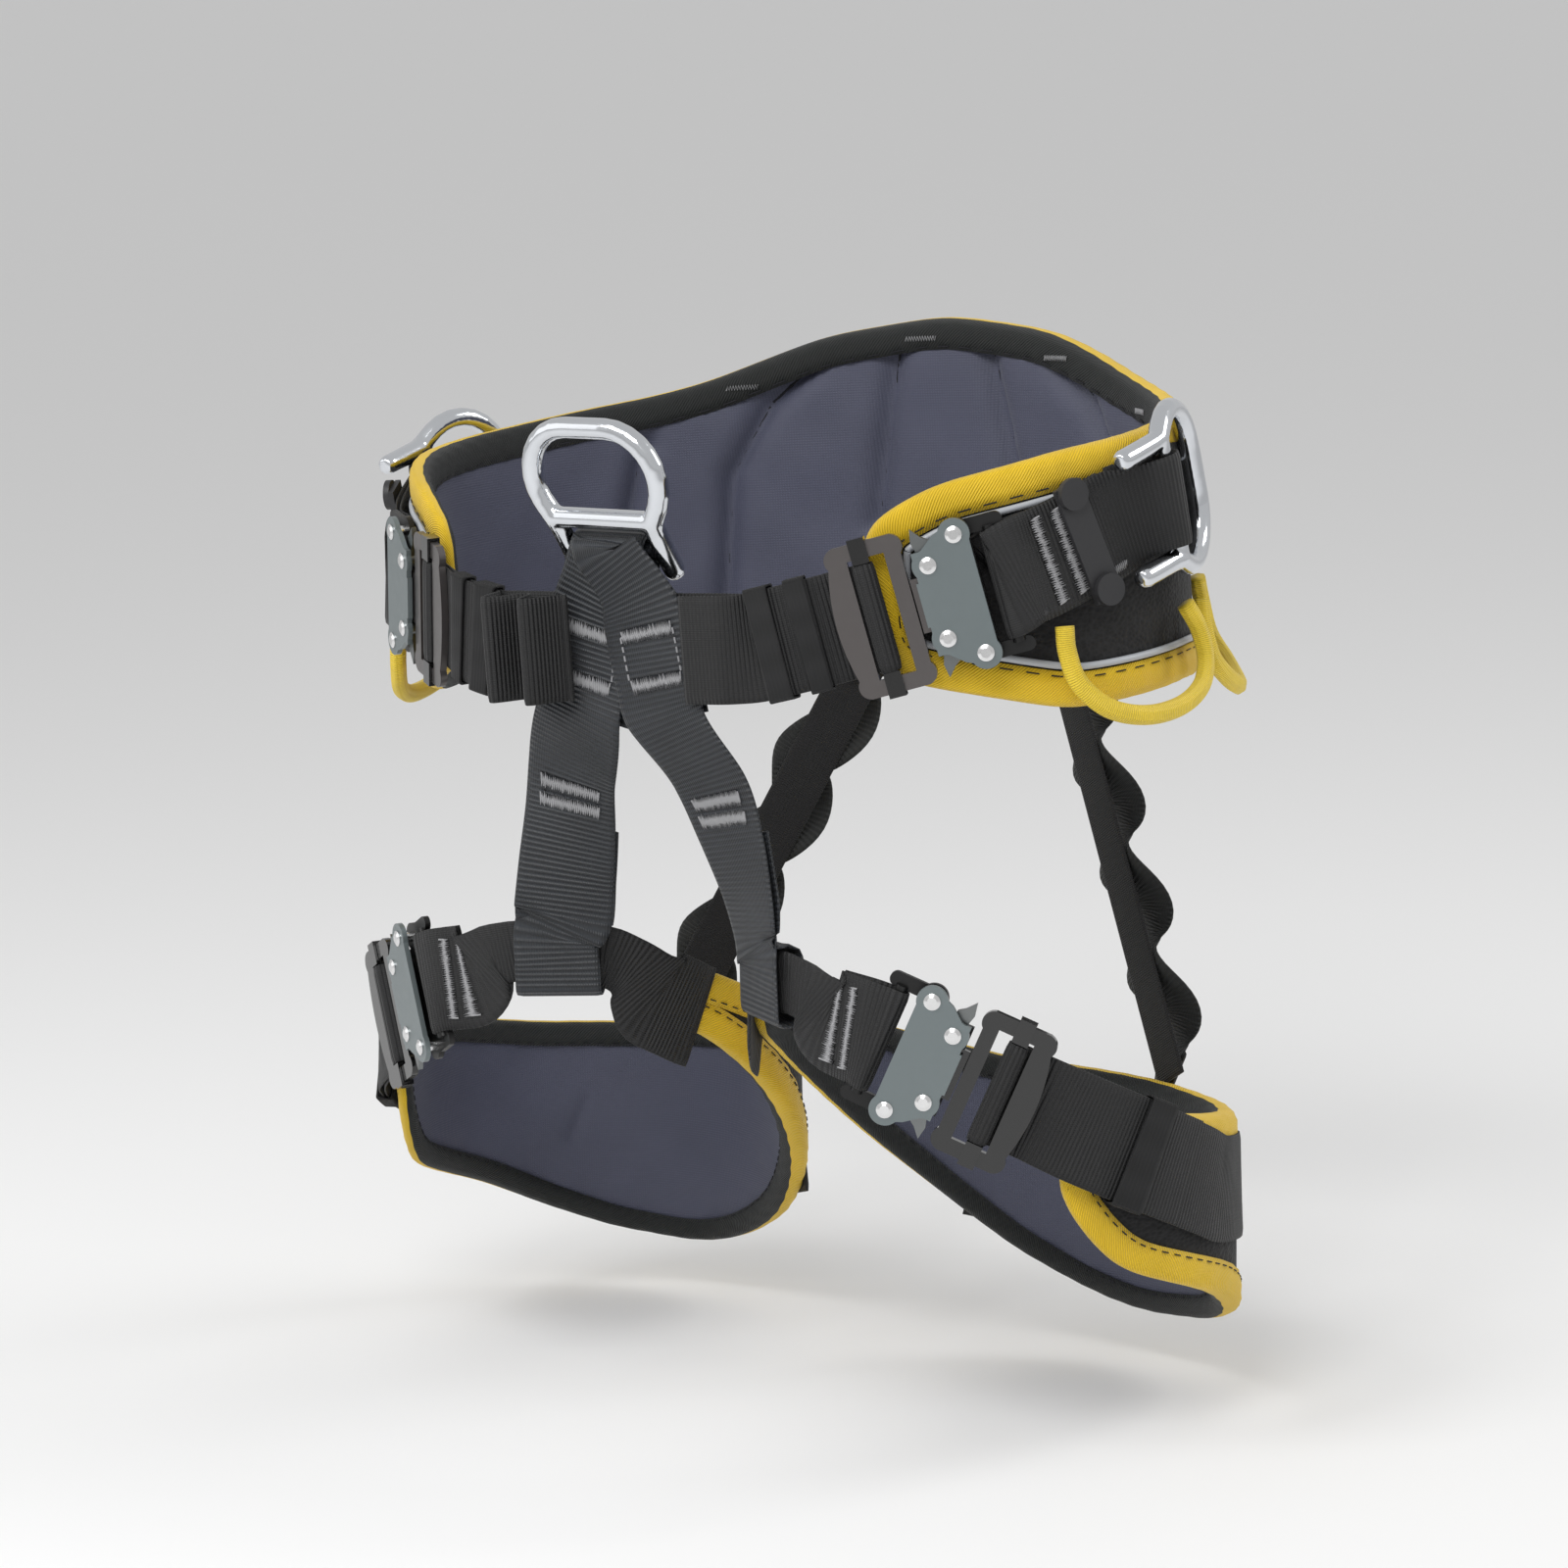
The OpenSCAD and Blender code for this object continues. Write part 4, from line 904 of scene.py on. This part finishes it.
# ---------------------------------------------------------------- rear straps
R_TOP, R_LOW = np.array([52, 124, -39.0]), np.array([134, 76, -208.0])
for s, side in SIDES:
    d = R_LOW - R_TOP
    across = unit(np.cross(d, [0.45, 1, 0]))
    out = unit(np.cross(across, unit(d)))
    out = out if out[1] > 0 else -out
    pts = [((R_TOP + f * d), across) for f in np.linspace(0, 1, 12)]
    e = Strip(f"rear_elastic_{s}", pts, 22, 1.5, ELASTIC, side=side)
    pts = []
    for f in np.linspace(0, 1, 49):
        a = 2 * math.pi * 4 * f
        pts.append((R_TOP + f * d + (7 - 5 * math.cos(a)) * out + 5 * math.sin(a) * across, across))
    v = Strip(f"rear_webbing_{s}", pts, 28, 1.3, REAR, side=side)
    for o in (e.obj, v.obj):
        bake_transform(o)
    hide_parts(f"rear_strap_{s}")


# ---------------------------------------------------------------- keepers, gear loops
def band(name, line, s0, s1, top, mat):
    """Elastic tube round the straps, with rounded corners."""
    y, wall, r = W / 2 + 0.5, 1.0, 1.2
    prof = []
    for cx, cy, a0 in ((y - r + wall, top - r + wall, 0), (-y + r - wall, top - r + wall, 90),
                       (-y + r - wall, -0.4 + r - wall, 180), (y - r + wall, -0.4 + r - wall, 270)):
        for a in (0, 30, 60, 90):
            c, d = cs(a0 + a)
            prof.append((cx + r * c, cy + r * d))
    verts, uv = [], []
    steps = 9
    for i in range(steps):
        x = s0 + (s1 - s0) * i / (steps - 1)
        for j, (py, ph) in enumerate(prof):
            verts.append(line.p(x, ph, py))
            uv.append((j * 3.2, x))
    m = len(prof)
    base = len(verts)
    for i in range(steps):
        x = s0 + (s1 - s0) * i / (steps - 1)
        for j, (py, ph) in enumerate(prof):
            verts.append(line.p(x, ph - math.copysign(0.8, ph - top / 2), py - math.copysign(0.8, py)))
            uv.append((j * 3.2, x))
    faces = grid_faces(steps, m, True) + [f[::-1] for f in grid_faces(steps, m, True, base=base)]
    for i in (0, steps - 1):
        for j in range(m):
            a, b = i * m + j, i * m + (j + 1) % m
            faces.append((a, b, base + b, base + a) if i else (b, a, base + a, base + b))
    return new_object(name, verts, faces, [mat], uv=uv)


for s, side in SIDES:
    for i, (a, b, top) in enumerate(((-63, -55, 4.6), (-80, -70, 5.0))):
        o = band(f"belt_keeper_{s}_{i}", belt, a, b, top, ELASTIC)
        finish_piece(o, "harness", *(["belt_keepers"] if not i else []), side=side, tilt=True)
    o = band(f"leg_keeper_band_{s}", leg, -94, -82, 5.4, ELASTIC)
    finish_piece(o, f"leg_{s}", f"leg_keeper_{s}", side=side)

GEAR = {"front": [[41, 2, 5], [41, -8, 6], [44, -21, 8], [54, -32, 11], [70, -37, 13], [88, -36, 14],
                  [103, -30, 13], [111, -20, 11], [112, -8, 8], [108, 2, 5]],
        "back": [[124, 2, 5], [123, -8, 6], [126, -22, 8], [136, -32, 11], [152, -38, 13],
                 [170, -38, 13], [186, -32, 12], [196, -22, 9], [198, -8, 7], [196, 2, 5]]}
for s, side in SIDES:
    for which, route in GEAR.items():
        rows = catmull([[*(belt_xy(q[0]) + q[2] * belt_n(q[0]) + np.array([0, 0, q[1]]))] for q in route], 2.2)
        tan = np.gradient(rows, axis=0)
        tan /= np.linalg.norm(tan, axis=1)[:, None]
        verts, uv = [], []
        m = 28
        for i in range(len(rows)):
            k = unit([rows[i][0], rows[i][1], 0])
            u = unit(np.cross(tan[i], k))
            v = np.cross(u, tan[i])
            for j in range(m):
                a = 2 * math.pi * j / m
                r = 4.0 + 0.18 * math.cos(7 * a)
                verts.append(rows[i] + r * (math.cos(a) * u * 1.0 + 0.86 * math.sin(a) * v))
                uv.append((i * 2.2, 25 * abs(j / m - 0.5)))
        last = (len(rows) - 1) * m
        faces = grid_faces(len(rows), m, True) + [tuple(range(m))[::-1], tuple(range(last, last + m))]
        o = new_object(f"gear_loop_{which}_{s}", verts, faces, [CORD], uv=uv)
        taken = ["gear_loops"] if side > 0 and which == "front" else []
        finish_piece(o, "harness", *taken, side=side, tilt=True)

# ---------------------------------------------------------------- hardware keeps its CAD solids
# key in the node's name, material, bevel in mm
LOOKS = (("ring_keepers", RUBBER, 1.2), ("ventral_ring", ALLOY, 0), ("side_ring", ALLOY, 0),
         ("buckle_plate", PLATE, 0.5), ("buckle_base", BASE, 0.4), ("rivet", RIVET, 0.25), ("lever", LEVER, 0.3),
         ("waist_adjuster", GUN, 0.8), ("leg_adjuster", GLOSS, 0.8), ("slider", GLOSS, 0.5))
for name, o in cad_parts.items():
    if o.hide_render:
        continue
    for key, mat, width in LOOKS:
        if key in name:
            for i in range(max(1, len(o.data.materials))):
                if i < len(o.data.materials):
                    o.data.materials[i] = mat
                else:
                    o.data.materials.append(mat)
            if "ring_left" in name or "ring_right" in name or name == "ventral_ring":
                skin = o.modifiers.new("skin", "REMESH")
                skin.mode, skin.voxel_size, skin.use_smooth_shade = "VOXEL", 0.8 * MM, True
                soft = o.modifiers.new("soft", "SMOOTH")
                soft.factor, soft.iterations = 0.5, 8
            if width:
                bev = o.modifiers.new("edge", "BEVEL")
                bev.width, bev.segments = width * MM, 2
                bev.limit_method, bev.angle_limit = "ANGLE", math.radians(35)
                bev.harden_normals = False
            break

# ---------------------------------------------------------------- stage
FLOOR_Z, FLOOR_SIZE = -0.335, 300
bpy.ops.mesh.primitive_plane_add(size=FLOOR_SIZE, location=(0, 0, FLOOR_Z))
floor = bpy.context.object
floor.name = "floor"
floor.data.materials.append(material("floor_pale", (0.86, 0.86, 0.86), 0.9))

world = bpy.data.worlds.new("studio")
bpy.context.scene.world = world
world.use_nodes = True
world.node_tree.nodes["Background"].inputs[0].default_value = (1, 1, 1, 1)
world.node_tree.nodes["Background"].inputs[1].default_value = 0.62


def area(name, loc, size, power, target=(0, 0, -0.1)):
    data = bpy.data.lights.new(name, "AREA")
    data.size, data.energy = size, power
    o = bpy.data.objects.new(name, data)
    bpy.context.scene.collection.objects.link(o)
    o.location = loc
    o.rotation_euler = (Vector(target) - Vector(loc)).to_track_quat("-Z", "Y").to_euler()


area("key", (0.6, -1.6, 1.5), 0.9, 17)
area("fill", (-1.6, -1.2, 0.6), 1.4, 5)
area("rim", (1.4, 1.1, 1.2), 0.8, 10)
area("inside", (-0.3, -0.9, 0.9), 0.5, 5)

A, E, ROLL = math.radians(37), math.radians(10), math.radians(2.3)
right = np.array([math.cos(A), math.sin(A), 0.0])
back = np.array([math.sin(A) * math.cos(E), -math.cos(A) * math.cos(E), math.sin(E)])
up = np.cross(back, right)
right, up = right * math.cos(ROLL) - up * math.sin(ROLL), up * math.cos(ROLL) + right * math.sin(ROLL)
place = (back * 2200 - right * (12 / 2.4) - up * (181 / 2.4)) * MM
cam_data = bpy.data.cameras.new("camera")
cam_data.lens, cam_data.sensor_width = 118.8, 36
cam = bpy.data.objects.new("camera", cam_data)
cam.matrix_world = Matrix([[right[0], up[0], back[0], place[0]], [right[1], up[1], back[1], place[1]],
                           [right[2], up[2], back[2], place[2]], [0, 0, 0, 1]])
bpy.context.scene.collection.objects.link(cam)
bpy.context.scene.camera = cam
bpy.context.scene.view_settings.view_transform = "Standard"
